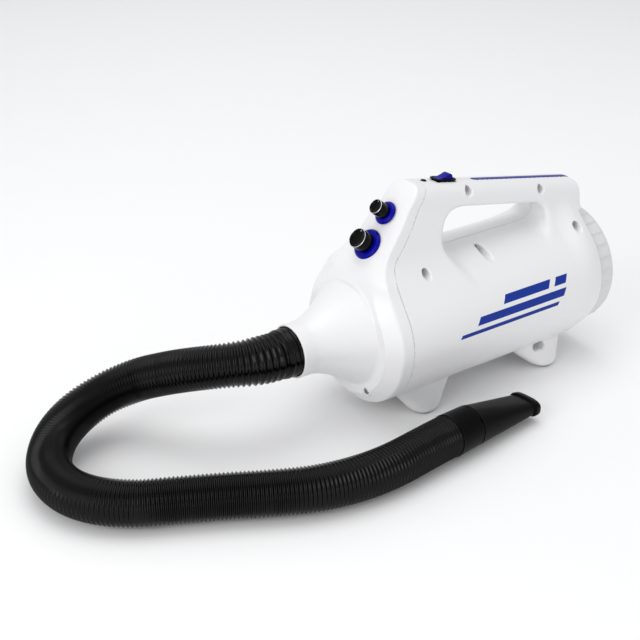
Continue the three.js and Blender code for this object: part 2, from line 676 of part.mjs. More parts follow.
function polygonShape(radius, sides) {
  return new THREE.Shape(Array.from({ length: sides }, (_, i) => {
    const angle = 2 * Math.PI * i / sides;
    return new THREE.Vector2(radius * Math.cos(angle), radius * Math.sin(angle));
  }));
}

function buildHeater() {
  add('heater_sleeve', tubeX(-78, -22, 39, 40).translate(0, 0, AXIS_Z), STEEL);
  const plates = [
    box(-74, -26, -26, 26, AXIS_Z - 0.6, AXIS_Z + 0.6),
    box(-74, -26, -0.6, 0.6, AXIS_Z - 26, AXIS_Z + 26),
  ];
  add('heater_frame', join(...plates.map(solid)), MICA);
  const coil = new THREE.ExtrudeGeometry(polygonShape(1.2, 5), {
    extrudePath: new Helix(-70, -30, 30.5, 4),
    steps: 36,
    bevelEnabled: false,
  });
  add('heater_coil', coil, STEEL);
  add('thermal_cutout', box(-60, -46, -5, 5, AXIS_Z + 40.5, AXIS_Z + 46), BLACK);
}

// ---------------------------------------------------------------- electrics in the front post
function buildElectrics() {
  const board = shapeOf([[-46, 160], [-20, 160], [-20, 204], [-36, 204]]);
  const plate = new THREE.ExtrudeGeometry(board, { depth: 1.6, bevelEnabled: false });
  add('control_board', plate.rotateX(Math.PI / 2).translate(0, 7.6, 0), BOARD);
  const sink = join(
    solid(box(-44, -22, 2, 5.6, 164, 180)),
    ...[164, 169.5, 175].map((z) => solid(box(-44, -22, -10, 3, z, z + 2))),
  );
  add('heat_sink', sink, ALUMINIUM);
  const bush = turnedX([
    [POST_REAR_X - 5, 4], [POST_REAR_X - 5, 6.5], [POST_REAR_X + 0.4, 6.5], [POST_REAR_X + 0.4, 8],
    [POST_REAR_X + 2, 7.4], [POST_REAR_X + 2, 4], [POST_REAR_X - 5, 4],
  ], SMALL);
  add('cord_bushing', bush.translate(0, 0, CORD_Z), BLACK);
}

// ---------------------------------------------------------------- hose and nozzle
function buildHose() {
  const cuff = tubeX(HOSE_START_X + GAP, OUTLET_X + 30, 19, CUFF_R, 20).translate(0, 0, AXIS_Z);
  add('hose_cuff', cuff, BLACK);
  const route = new THREE.CatmullRomCurve3(HOSE_ROUTE.map((point) => new THREE.Vector3(...point)));
  const section = polygonShape(HOSE_R, 10);
  section.holes.push(polygonShape(HOSE_BORE_R, 10));
  const hose = new THREE.ExtrudeGeometry(section, {
    extrudePath: route,
    steps: 30,
    bevelEnabled: false,
  });
  add('air_hose', hose, BLACK);

  const end = route.getPoint(1);
  const heading = route.getTangent(1);
  const place = new THREE.Group();
  const aside = new THREE.Vector3(0, 0, 1).cross(heading).normalize();
  const up = heading.clone().cross(aside);
  place.applyMatrix4(new THREE.Matrix4().makeBasis(heading, aside, up).setPosition(end));
  blower.add(place);
  const collar = turnedX([
    [GAP, 15.5], [GAP, 21.2], [4, 21.3], [30, 20.6], [30, 17.6], [34, 17.4], [34, 15.5], [GAP, 15.5],
  ], 16);
  add('nozzle_collar', collar, BLACK, place);
  const bore = solid(nozzleForm(28, NOZZLE_LENGTH + 2, -1.8));
  add('air_nozzle', cut(solid(nozzleForm(30 + GAP, NOZZLE_LENGTH, 0)), bore), BLACK, place);
}

// The nozzle's half width and half height along its length: round at the collar, a slot at the tip.
function nozzleForm(x0, x1, grow) {
  const steps = 5;
  const geometry = new THREE.CylinderGeometry(1, 1, x1 - x0, 16, steps).rotateZ(-Math.PI / 2);
  geometry.translate((x0 + x1) / 2, 0, 0);
  const position = geometry.attributes.position;
  for (let i = 0; i < position.count; i += 1) {
    const share = THREE.MathUtils.clamp((position.getX(i) - 30) / (NOZZLE_LENGTH - 30), 0, 1);
    const width = THREE.MathUtils.lerp(20.6, 15.5, share) + grow;
    const height = THREE.MathUtils.lerp(20.6, 6.5, share) + grow;
    const drop = THREE.MathUtils.lerp(0, -7.5, share);
    position.setY(i, position.getY(i) * width);
    position.setZ(i, position.getZ(i) * height + drop);
  }
  return geometry;
}

// ---------------------------------------------------------------- assembly
buildHousings();
buildScrews();
buildCover();
buildFeet();
buildIntake();
buildTopFittings();
buildKnob('speed', -KNOB_SPREAD, 10, 15.6);
buildKnob('heat', KNOB_SPREAD, 7.6, 11.9);
buildMotor();
buildMotorMounts();
buildHeater();
buildElectrics();
buildHose();

export default blower;
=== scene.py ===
import json
import math

import bpy
import numpy as np
from mathutils import Matrix, Vector


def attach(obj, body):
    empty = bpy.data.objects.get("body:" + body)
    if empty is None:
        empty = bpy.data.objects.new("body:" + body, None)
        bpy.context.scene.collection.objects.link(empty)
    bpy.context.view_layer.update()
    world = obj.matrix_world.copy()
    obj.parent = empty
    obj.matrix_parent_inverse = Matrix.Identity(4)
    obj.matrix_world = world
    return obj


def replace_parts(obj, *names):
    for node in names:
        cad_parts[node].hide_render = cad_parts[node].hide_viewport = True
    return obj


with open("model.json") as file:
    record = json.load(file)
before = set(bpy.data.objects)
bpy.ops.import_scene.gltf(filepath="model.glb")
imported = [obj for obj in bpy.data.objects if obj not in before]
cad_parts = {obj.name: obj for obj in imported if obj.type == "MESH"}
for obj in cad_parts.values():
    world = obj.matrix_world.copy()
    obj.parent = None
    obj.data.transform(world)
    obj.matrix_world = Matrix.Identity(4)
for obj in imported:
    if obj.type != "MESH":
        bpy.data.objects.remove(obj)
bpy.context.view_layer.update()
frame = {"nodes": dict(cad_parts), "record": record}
MM = 0.001

# ---- driving dimensions, mm
AXIS_Z = 88.0         # height of the barrel's axis
BARREL_R = 75.0
CROWN = 0.86          # the barrel's upper half is flattened by this factor
WALL = 3.0
SPLIT = 0.06          # half of the gap between the two body halves
SEAM_GAP = 0.16       # gap between the cover and the halves
OUTLET_X = -186.0
OUTLET_BORE_R = 24.6
FACE_X = -119.2       # flat ring round the bell
COVER_X = -107.0      # front edge of the barrel
SEAM_X = -94.0        # joint between the cover and the halves, on the barrel
REAR_ROUND_X = 128.0  # where the barrel starts to draw in towards its rim
RIM_X = 168.0
RIM_R = 68.3
INTAKE_R = 62.0
BELL_START_X = -172.0
BELL_START_R = 26.8
BELL_RISE = 25.4      # how much wider the bell is at the flat ring than at its start
BELL_POWER = 1.55
CHAMFER = 13.3        # width of the slope between the flat ring and the side

# The handle. Its top falls towards the rear, and so does the upper edge of the finger opening.
SLOPE = 0.187
SLOPE_LENGTH = math.hypot(1, SLOPE)
TOP_X, TOP_Z = -27.0, 226.3
SECTION_X = -57.0     # where the block crosses the control panel
SECTION_TOP_Z = 231.5
SHOULDER = 19.0       # rounding along the handle's upper edges
HANDLE_BLEND = 22.0   # fillet between the handle and the barrel
OPENING_FRONT_X = -20.5
OPENING_REAR_X = 126.0
OPENING_ROUND = (36.0, 20.0)   # rounding of the opening's upper corners, front and rear
OPENING_TOP_X, OPENING_TOP_Z = 12.0, 195.4
POST_REAR_X = 174.5
POST_FOOT_Z = 157.5   # the rear post ends here, above the intake cap
BUSHING_Z = 166.0

FOOT_X = (-53.0, 114.0)
FOOT_Y = 44.0
FOOT_R = 13.5
LEG_SHIFT = (3.0, -9.0)   # how far each leg's middle has moved along x at 29 mm above the foot
LEG_SPREAD = 0.9          # growth of its half length with height
LEG_TILT = 0.42           # how far it leans inwards with height
LEG_POWER = 2.3           # 2 would make its section an ellipse; more makes it squarer

PANEL = (-82.8, 0.0, 188.4)
PANEL_UP = (0.618, 0.0, 0.786)
PANEL_OUT = (-0.786, 0.0, 0.618)
PANEL_SLANT = 0.786       # x over z along the panel
PANEL_BULGE = 5.2         # how far the panel stands out in its middle
PANEL_BULGE_WIDTH = 20.0
KNOB_SPREAD = 17.2        # from the panel's middle to each knob
KNOB_TOP = 17.2
SHAFT_HOLE_R = 4.8
BEZEL_HEIGHT = 4.0

SWITCH_X = -2.0
LAMP_X = -26.7
STRIP_X = 36.0
STRIP_LENGTH = 136.0
STRIP_HALF = 3.0          # half of its width

# x, z, depth of the head from the middle plane, radius of the recess, half of its extra length
SIDE_SCREWS = {
    "body_screw_front": (-54.5, 148.5, 16, 4.6, 0),
    "body_screw_middle": (30.4, 145.8, 16, 4.6, 0),
    "body_screw_rear": (152, 147.5, 16, 4.6, 0),
    "handle_screw_front": (17, 209.7, 8, 4.3, 0),
    "handle_screw_rear": (116.5, 190, 8, 4.3, 0),
    "body_screw_lower": (102, 25, 30, 3.9, 4.0),
}
COVER_SCREW = (FACE_X, 32.8, AXIS_Z - 51.0)

CAP_TEETH = 32
CAP_TOOTH_SHARE = 0.86    # share of each tooth that rises; the rest falls
CAP_END_X = 188.0
CAP_SLOTS = 24
MOUNT_BORE = 42.5
MOUNT_R = 70.8

# Places along the hose's centre line, guided by a fit to the photo.
HOSE_R = 21.0
HOSE_ROUTE = [
    (-200, 0, 88), (-207, 0, 88), (-228, 4, 88), (-252, 17, 86), (-272, 37, 80), (-288, 59, 71),
    (-307, 81, 60), (-334, 95, 48), (-364, 96, 37), (-391, 84, 28), (-411, 61, 22), (-421, 32, 21.4),
    (-419, 1, 21.4), (-405, -26, 21.4), (-382, -47, 21.4), (-350, -64, 21.4), (-312, -84, 21.4),
    (-276, -104, 21.4), (-240, -121, 21.4), (-202, -130, 21.4), (-165, -131.5, 21.4),
    (-128, -127.5, 21.4), (-106, -124.8, 21.4), (-92, -123.6, 21.4),
]
HOSE_POINTS = 2400
RIB_PITCH = 3.6
RIB_DEPTH = 1.5
RIB_STEPS = 8             # rings of points for each rib
COLLAR_LENGTH = 30.0
SLEEVE_R = 17.5           # the sleeve inside the collar
SLEEVE_LENGTH = 34.0
NOZZLE_R = 20.7
NOZZLE_LENGTH = 116.0
NOZZLE_WALL = 2.2
NOZZLE_TIP = (15.2, 6.6)  # half width and half height of the flat tip
NOZZLE_DROP = 7.5         # how far the tip lies below the collar's axis

# The printed bars: x from and to along the lower edge, z from and to.
BARS = [(-36, 96, 86, 90), (-14, 104, 94.5, 102.5), (22, 84, 107, 115), (92, 108, 107, 115)]
BAR_LEAN = 0.55
PRINT_IN = BARREL_R - 0.2
PRINT_OUT = BARREL_R + 0.12

# Grid steps of the shells, and the share of faces that is kept after their surfaces are made.
SHELL_STEP = 1.25
SHELL_THIN = 0.45
CAP_THIN = 0.6
SKIN = 0.12               # points this near to the uncut surface are shaded with it


# ---- camera
def build_camera():
    camera = bpy.data.objects.new("camera", bpy.data.cameras.new("camera"))
    bpy.context.collection.objects.link(camera)
    camera.data.sensor_width = 36
    camera.data.lens = 70.5
    camera.data.clip_start = 0.01
    camera.location = (-0.77707, -0.86650, 0.64816)
    heading = Vector((0.5238, 0.7240, -0.4488))
    camera.rotation_euler = heading.to_track_quat("-Z", "Y").to_euler()
    bpy.context.scene.camera = camera


# ---- meshes
def new_piece(name, vertices, faces, body, slot, look=None, smooth=True):
    """A mesh object from points in millimetres, riding on a CAD body. It looks like its slot's
    material unless another look is named."""
    mesh = bpy.data.meshes.new(name)
    mesh.from_pydata((np.asarray(vertices, float) * MM).tolist(), [], faces)
    mesh.validate()
    mesh.update()
    piece = bpy.data.objects.new(name, mesh)
    bpy.context.collection.objects.link(piece)
    if smooth:
        mesh.shade_smooth()
    mesh.materials.append(MATERIALS[look or slot])
    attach(piece, body)
    return piece


def crease(piece, degrees):
    """Keeps edges sharper than the angle crisp in the shading."""
    piece.data.set_sharp_from_angle(angle=math.radians(degrees))
    return piece


def grid_faces(rows, columns, closed_rows=False):
    """Quads of a net whose columns close round, and whose rows may."""
    faces = []
    for i in range(rows if closed_rows else rows - 1):
        for j in range(columns):
            a = i * columns + j
            b = i * columns + (j + 1) % columns
            k = (i + 1) % rows
            faces.append((a, b, k * columns + (j + 1) % columns, k * columns + j))
    return faces


def lathe(profile, sides, frame_matrix):
    """A closed turned solid from [radius, height] points; a radius of 0 closes it on the axis."""
    vertices, faces = [], []
    rings = []
    for radius, height in profile:
        if radius <= 0:
            rings.append([len(vertices)])
            vertices.append((0, 0, height))
            continue
        rings.append(list(range(len(vertices), len(vertices) + sides)))
        for j in range(sides):
            angle = 2 * math.pi * j / sides
            vertices.append((radius * math.cos(angle), radius * math.sin(angle), height))
    closed = profile[0][0] > 0
    count = len(rings)
    for i in range(count if closed else count - 1):
        low, high = rings[i], rings[(i + 1) % count]
        for j in range(sides):
            k = (j + 1) % sides
            if len(low) == 1:
                faces.append((low[0], high[k], high[j]))
            elif len(high) == 1:
                faces.append((low[j], low[k], high[0]))
            else:
                faces.append((low[j], low[k], high[k], high[j]))
    points = [tuple(frame_matrix @ Vector(v)) for v in vertices]
    return points, faces


def solid_from_rings(rings, place, closed=False):
    """A solid through equal rings of points, capped at both ends."""
    count = len(rings[0])
    points = [tuple(place @ Vector(p)) for ring in rings for p in ring]
    faces = grid_faces(len(rings), count, closed_rows=closed)
    if not closed:
        faces.append(tuple(range(count))[::-1])
        faces.append(tuple(range((len(rings) - 1) * count, len(rings) * count)))
    return points, faces


def rounded(profile, radius, steps=3, closed=True):
    """Rounds each corner of an outline by about the radius."""
    points = []
    count = len(profile)
    for i, corner in enumerate(profile):
        if not closed and i in (0, count - 1):
            points.append(tuple(corner))
            continue
        here = np.array(corner, float)
        before = np.array(profile[i - 1], float) - here
        after = np.array(profile[(i + 1) % count], float) - here
        reach = min(radius, 0.45 * np.linalg.norm(before), 0.45 * np.linalg.norm(after))
        start = here + before / np.linalg.norm(before) * reach
        end = here + after / np.linalg.norm(after) * reach
        for t in np.linspace(0, 1, steps + 1):
            p = (1 - t) ** 2 * start + 2 * t * (1 - t) * here + t ** 2 * end
            points.append(tuple(p))
    return points


def oblong(length, width, radius, steps=6):
    """A rectangle with round corners about the origin, counter-clockwise."""
    points = []
    corners = ((1, 1, 0), (-1, 1, 90), (-1, -1, 180), (1, -1, 270))
    for sx, sy, first in corners:
        cx, cy = sx * (length / 2 - radius), sy * (width / 2 - radius)
        for i in range(steps + 1):
            angle = math.radians(first + 90 * i / steps)
            points.append((cx + radius * math.cos(angle), cy + radius * math.sin(angle)))
    return points


def at_height(outline, height):
    """An outline as a ring of points at that height."""
    return [(u, v, height) for u, v in outline]


def basis(x_axis, y_axis, z_axis, place):
    """A matrix from three axes and a place."""
    matrix = Matrix((x_axis, y_axis, z_axis)).transposed().to_4x4()
    matrix.translation = Vector(place)
    return matrix


def panel_frame(along):
    """Z out of the control panel, X up along it."""
    place = Vector(PANEL) + Vector(PANEL_UP) * along
    out = Vector(PANEL_OUT)
    up = Vector(PANEL_UP)
    return basis(up, out.cross(up), out, place)


def x_frame(x, y=0.0, z=AXIS_Z):
    """Z along the model's +X."""
    return basis(Vector((0, 1, 0)), Vector((0, 0, 1)), Vector((1, 0, 0)), (x, y, z))


def top_line(x):
    """The height of the handle's top at that x."""
    return TOP_Z - SLOPE * (x - TOP_X)


def top_frame(x):
    """Z out of the handle's top, X towards the rear along it."""
    tilt = math.atan(SLOPE)
    along = Vector((math.cos(tilt), 0, -math.sin(tilt)))
    out = Vector((math.sin(tilt), 0, math.cos(tilt)))
    return basis(along, Vector((0, 1, 0)), out, (x, 0, top_line(x)))


# ---- distance fields
# A field gives each point's distance to a surface, negative inside. Points are x, y, z arrays in mm.
def both(a, b, blend=0.0):
    """Where both fields are inside, with the edge rounded over about the blend."""
    return -either(-a, -b, blend)


def either(a, b, blend=0.0):
    """Where either field is inside, with the inner corner filled over about the blend."""
    low = np.minimum(a, b)
    if blend <= 0:
        return low
    near = np.maximum(blend - np.abs(a - b), 0) / blend
    return low - near * near * blend / 4


def without(a, b, blend=0.0):
    """What is left of one field when another is cut out of it."""
    return both(a, -b, blend)


def smooth_step(value, low, high):
    """Rises smoothly from 0 at the low limit to 1 at the high one."""
    t = np.clip((value - low) / (high - low), 0, 1)
    return t * t * (3 - 2 * t)


def curve_value(value, points):
    """A smooth curve through [input, output] points, flat beyond its ends."""
    xs = np.array([p[0] for p in points], float)
    ys = np.array([p[1] for p in points], float)
    slopes = np.zeros(len(xs))
    steps = np.diff(ys) / np.diff(xs)
    same_way = steps[1:] * steps[:-1] > 0
    mean = 2 * steps[1:] * steps[:-1] / np.where(same_way, steps[1:] + steps[:-1], 1)
    slopes[1:-1] = np.where(same_way, mean, 0)
    slopes[0], slopes[-1] = steps[0], steps[-1]
    v = np.clip(value, xs[0], xs[-1])
    i = np.clip(np.searchsorted(xs, v, side="right") - 1, 0, len(xs) - 2)
    width = xs[i + 1] - xs[i]
    t = (v - xs[i]) / width
    return ((1 + 2 * t) * (1 - t) ** 2 * ys[i] + t * (1 - t) ** 2 * width * slopes[i]
            + t * t * (3 - 2 * t) * ys[i + 1] + t * t * (t - 1) * width * slopes[i + 1])


def slab(value, low, high, blend=0.0):
    """Where the value lies between two limits."""
    return both(low - value, value - high, blend)


def barrel_field(x, y, z):
    """The barrel's side: round below its axis, flatter above it, round again at the intake."""
    rise = z - AXIS_Z
    crown = np.where(rise > 0, CROWN + (1 - CROWN) * smooth_step(x, REAR_ROUND_X, RIM_X - 10), 1.0)
    r = np.sqrt(y * y + (rise / crown) ** 2)
    drop = (BARREL_R - RIM_R) * (np.clip(x - REAR_ROUND_X, 0, 60) / (RIM_X - REAR_ROUND_X)) ** 2.4
    return r - (BARREL_R - drop)


def bell_field(x, y, z):
    """The bell from the hose to the flat ring."""
    r = np.hypot(y, z - AXIS_Z)
    run = FACE_X - BELL_START_X
    share = np.clip((x - BELL_START_X) / run, 0, 1)
    radius = BELL_START_R + BELL_RISE * share ** BELL_POWER
    steep = BELL_RISE * BELL_POWER * share ** (BELL_POWER - 1) / run
    return both((r - radius) / np.sqrt(1 + steep ** 2), slab(x, OUTLET_X, FACE_X + 8), 1.2)


# Half width of the handle block at each height, where the block crosses the control panel
HALF_WIDTH = [(100, 46), (138, 44), (150, 37.5), (160, 31.5), (168, 28.8), (178, 26.8), (190, 25), (208, 21)]


def handle_field(x, y, z):
    """The handle block in side view, with the finger opening cut through it."""
    height = z + SLOPE * (x - SECTION_X)
    flank = (np.abs(y) - curve_value(height, HALF_WIDTH)) / 1.06
    top = (height - SECTION_TOP_Z) / SLOPE_LENGTH
    section = both(both(flank, top, SHOULDER), AXIS_Z + 14 - z)
    return without(section, opening_field(x, z), 6)


def opening_field(x, z):
    """The finger opening in side view, open towards the barrel."""
    under = (z - (OPENING_TOP_Z - SLOPE * (x - OPENING_TOP_X))) / SLOPE_LENGTH
    front_part = both(OPENING_FRONT_X - x, under, OPENING_ROUND[0])
    return both(front_part, x - OPENING_REAR_X, OPENING_ROUND[1])


# X of the cover's front edge at each height: straight on the barrel, then slanted with the panel
EDGE_X = [(60, COVER_X), (146, -106.6), (156, -104), (164, -98.5), (185, -80.2), (204, -65.2),
          (228, -46.4), (240, -37)]

# X of the joint between the cover and the halves at each height
SEAM_BEND = [(146, SEAM_X), (152, -92.4), (162, -86.6), (174, -73.6), (190, -60.8), (208, -48.6),
             (224, -36.4), (240, -24)]


def front_field(x, z, deep):
    """The cover's front: a chamfer and a flat ring on the barrel, a crowned panel above it.
    Deep is the distance inside the body's outline."""
    edge = curve_value(z, EDGE_X)
    slant = smooth_step(z, 134, 156)
    upper = smooth_step(z, 112, 158)
    inner = np.clip(deep, 0, 60)
    depth = COVER_X - FACE_X
    ring = depth * np.minimum(inner / CHAMFER, 1)
    crowned = PANEL_BULGE * (1 - np.clip(1 - inner / PANEL_BULGE_WIDTH, 0, 1) ** 2)
    rise = ring + (crowned - ring) * upper
    steep = np.where(inner < CHAMFER, depth / CHAMFER, 0) * (1 - upper) + 0.25 * upper
    return (edge - rise - x) / np.sqrt(1 + (PANEL_SLANT * slant) ** 2 + steep ** 2)


def rear_field(x, z):
    """Behind the rim, and above the intake cap behind the rear post."""
    post = both(x - POST_REAR_X, POST_FOOT_Z - z, 1.5)
    return either(x - RIM_X, post, 1.5)


def leg_field(x, y, z, foot_x, shift):
    """A leg that spreads along the barrel and leans inwards as it rises."""
    rise = np.clip(z - 1, 0, 45)
    reach = FOOT_R + LEG_SPREAD * rise
    middle = foot_x + shift * rise / 29
    depth = FOOT_R + 0.05 * rise
    u = np.abs(x - middle) / reach
    v = np.abs(np.abs(y) - FOOT_Y + LEG_TILT * rise) / depth
    radial = ((u ** LEG_POWER + v ** LEG_POWER) ** (1 / LEG_POWER) - 1) * np.minimum(reach, depth)
    return both(radial, slab(z, 1.0, 60), 7)


def body_field(x, y, z):
    """The whole white body without its hollow."""
    field = either(barrel_field(x, y, z), handle_field(x, y, z), HANDLE_BLEND)
    top = (z - TOP_Z + SLOPE * (x - TOP_X)) / SLOPE_LENGTH
    field = both(field, both(rear_field(x, z), top, 7), 2.5)
    field = both(field, front_field(x, z, -field), 1.6)
    field = either(field, bell_field(x, y, z), 2.0)
    for foot_x, shift in zip(FOOT_X, LEG_SHIFT):
        field = either(field, leg_field(x, y, z, foot_x, shift), 1.2)
    return field


def seam_field(x, z):
    """Negative in front of the joint between the cover and the halves."""
    on_slant = np.where(z > 150, 0.79, 1.0)
    return (x - curve_value(z, SEAM_BEND)) * on_slant


def strip_plan(x, y):
    """The strip's outline from above, with a round front end."""
    along = np.clip(x, STRIP_X + STRIP_HALF, STRIP_X + STRIP_LENGTH)
    return np.hypot(x - along, y) - STRIP_HALF


def shell_top(x, y, z):
    """Height over the body near the handle's top; anywhere else it is simply far."""
    near_top = (z > top_line(x) - 12) & (z > 172)
    return np.where(near_top, body_field(x, y, z), 50.0)


def rod_y(x, y, z, at_x, at_z, radius, low, high):
    """A rod along y."""
    return both(np.hypot(x - at_x, z - at_z) - radius, slab(y, low, high))


def rod_x(x, y, z, at_y, at_z, radius, low, high):
    """A rod along x."""
    return both(np.hypot(y - at_y, z - at_z) - radius, slab(x, low, high))


def local(matrix, x, y, z):
    """Coordinates in a piece's own frame."""
    m = np.array(matrix.inverted())
    return [row[0] * x + row[1] * y + row[2] * z + row[3] for row in m[:3]]


def shell_field(x, y, z):
    """The body's wall, open at the outlet and the intake."""
    solid = body_field(x, y, z)
    shell = without(solid, solid + WALL)
    r = np.hypot(y, z - AXIS_Z)
    shell = without(shell, both(r - OUTLET_BORE_R, slab(x, OUTLET_X - 9, -160)), 1.0)
    return without(shell, both(r - INTAKE_R, slab(x, RIM_X - 14, RIM_X + 9)), 1.5)


def joined_field(x, y, z):
    """Both body halves as one, with everything that is cut in them."""
    field = shell_field(x, y, z)
    inside = body_field(x, y, z) + 0.6
    for at_x, at_z, head, mouth, stretch in SIDE_SCREWS.values():
        recess = np.hypot(np.maximum(np.abs(x - at_x) - stretch, 0), z - at_z) - mouth
        field = either(field, both(recess - 2, inside), 1)
        field = without(field, both(recess, slab(y, -90, -head)), 1.6)
        field = without(field, rod_y(x, y, z, at_x, at_z, 2.4, -head - 2, 10))
    u, v, w = local(top_frame(SWITCH_X), x, y, z)
    switch_hole = both(both(np.abs(u) - 12.6, np.abs(v) - 6.1), slab(w, -20, 10))
    field = without(field, switch_hole)
    u, v, w = local(top_frame(LAMP_X), x, y, z)
    lamp_hole = both(np.hypot(u, v) - 2.9, slab(w, -12, 8))
    field = without(field, lamp_hole, 0.6)
    groove = both(strip_plan(x, y) - 0.2, slab(shell_top(x, y, z), -1.3, 8))
    field = without(field, groove, 0.3)
    field = without(field, rod_x(x, y, z, 0, BUSHING_Z, 6.8, POST_REAR_X - 14, POST_REAR_X + 9))
    for foot_x in FOOT_X:
        pad = both(np.hypot(x - foot_x, np.abs(y) - FOOT_Y) - 9.4, slab(z, -5, 3.0))
        field = without(field, pad, 0.4)
    return field


def half_field(x, y, z, side):
    """One body half; side is -1 for the near one and 1 for the far one."""
    half = both(joined_field(x, y, z), SPLIT - side * y, 0.2)
    return without(half, seam_field(x, z) - SEAM_GAP, 0.3)


def near_field(x, y, z):
    return half_field(x, y, z, -1)


def far_field(x, y, z):
    return half_field(x, y, z, 1)


def whole_cover_field(x, y, z):
    """The cover before it is cut off along its joint."""
    field = shell_field(x, y, z)
    for along in (-KNOB_SPREAD, KNOB_SPREAD):
        u, v, w = local(panel_frame(along), x, y, z)
        field = without(field, both(np.hypot(u, v) - SHAFT_HOLE_R, slab(w, -12, 8)))
    for side in (-1, 1):
        at_y, at_z = side * COVER_SCREW[1], COVER_SCREW[2]
        boss = rod_x(x, y, z, at_y, at_z, 5.5, FACE_X + 1, FACE_X + 14)
        field = either(field, boss, 0.5)
        field = without(field, rod_x(x, y, z, at_y, at_z, 3.4, FACE_X - 9, FACE_X + 2.1), 1.2)
        field = without(field, rod_x(x, y, z, at_y, at_z, 2.3, FACE_X - 9, FACE_X + 22))
    return field


def cover_field(x, y, z):
    """The cover, cut off along its joint."""
    return both(whole_cover_field(x, y, z), seam_field(x, z), 0.3)


# ---- surface from a field
def sample_field(field, low, high, step):
    """Field values on a grid. Points far from the surface keep their coarse block's value."""
    counts = [int(math.ceil((b - a) / step / 4)) * 4 + 1 for a, b in zip(low, high)]
    blocks = [(n - 1) // 4 for n in counts]
    block = 4 * step
    centres = [a + block * (np.arange(n) + 0.5) for a, n in zip(low, blocks)]
    cx, cy, cz = np.meshgrid(*centres, indexing="ij")
    coarse = field(cx.ravel(), cy.ravel(), cz.ravel()).reshape(blocks)
    busy = np.abs(coarse) < block * 1.25
    values = np.full(counts, 1e3, np.float32)
    spread = np.repeat(np.repeat(np.repeat(coarse, 4, 0), 4, 1), 4, 2)
    values[:-1, :-1, :-1] = spread
    marks = np.zeros(counts, bool)
    for i, j, k in np.argwhere(busy):
        marks[4 * i:4 * i + 5, 4 * j:4 * j + 5, 4 * k:4 * k + 5] = True
    index = np.nonzero(marks)
    points = [a + step * n for a, n in zip(low, index)]
    values[index] = field(*points)
    return values, np.array(low, float), step


def net_surface(values, low, step):
    """A closed quad mesh where the values change sign: one point in each mixed cell."""
    inside = values < 0
    shape = np.array(values.shape) - 1
    count = np.zeros(shape, np.int8)
    for di in (0, 1):
        for dj in (0, 1):
            for dk in (0, 1):
                count += inside[di:di + shape[0], dj:dj + shape[1], dk:dk + shape[2]]
    mixed = (count > 0) & (count < 8)
    cells = np.argwhere(mixed)
    number = np.full(shape, -1, np.int64)
    number[mixed] = np.arange(len(cells))
    total = np.zeros((len(cells), 3))
    weight = np.zeros(len(cells))
    corners = [(i, j, k) for i in (0, 1) for j in (0, 1) for k in (0, 1)]
    for a in corners:
        for axis in range(3):
            if a[axis]:
                continue
            b = list(a)
            b[axis] = 1
            va = values[tuple((cells + a).T)]
            vb = values[tuple((cells + b).T)]
            crossing = (va < 0) != (vb < 0)
            t = np.where(crossing, va / np.where(crossing, va - vb, 1), 0)
            point = np.array(a, float) + np.outer(t, np.array(b) - np.array(a))
            total += point * crossing[:, None]
            weight += crossing
    vertices = low + step * (cells + total / weight[:, None])
    faces = []
    for axis in range(3):
        u, v = (axis + 1) % 3, (axis + 2) % 3
        start = [slice(None)] * 3
        end = [slice(None)] * 3
        start[axis], end[axis] = slice(0, -1), slice(1, None)
        change = inside[tuple(start)] != inside[tuple(end)]
        edges = np.argwhere(change)
        keep = (edges[:, u] > 0) & (edges[:, v] > 0)
        keep &= (edges[:, u] < shape[u]) & (edges[:, v] < shape[v])
        edges = edges[keep]
        quad = []
        for du, dv in ((-1, -1), (0, -1), (0, 0), (-1, 0)):
            cell = edges.copy()
            cell[:, u] += du
            cell[:, v] += dv
            quad.append(number[tuple(cell.T)])
        quad = np.stack(quad, 1)
        flip = ~inside[tuple(edges.T)]
        quad[flip] = quad[flip][:, ::-1]
        faces.append(quad)
    return vertices, np.concatenate(faces)


def gradient(field, points, reach=0.05):
    """The field's gradient at each point, by central differences."""
    parts = []
    for axis in range(3):
        shift = np.zeros(3)
        shift[axis] = reach
        ahead, behind = (points + shift).T, (points - shift).T
        parts.append((field(*ahead) - field(*behind)) / (2 * reach))
    return np.stack(parts, 1)


def settle(field, points, limit, rounds=3):
    """Moves points onto the field's surface, each by no more than the limit."""
    moved = points.copy()
    for _ in range(rounds):
        slope = gradient(field, moved)
        size = np.maximum((slope ** 2).sum(1), 0.2)
        jump = -(field(*moved.T) / size)[:, None] * slope
        moved += np.clip(jump, -0.4, 0.4)
    away = moved - points
    far = np.maximum(np.linalg.norm(away, axis=1) / limit, 1)
    return points + away / far[:, None]


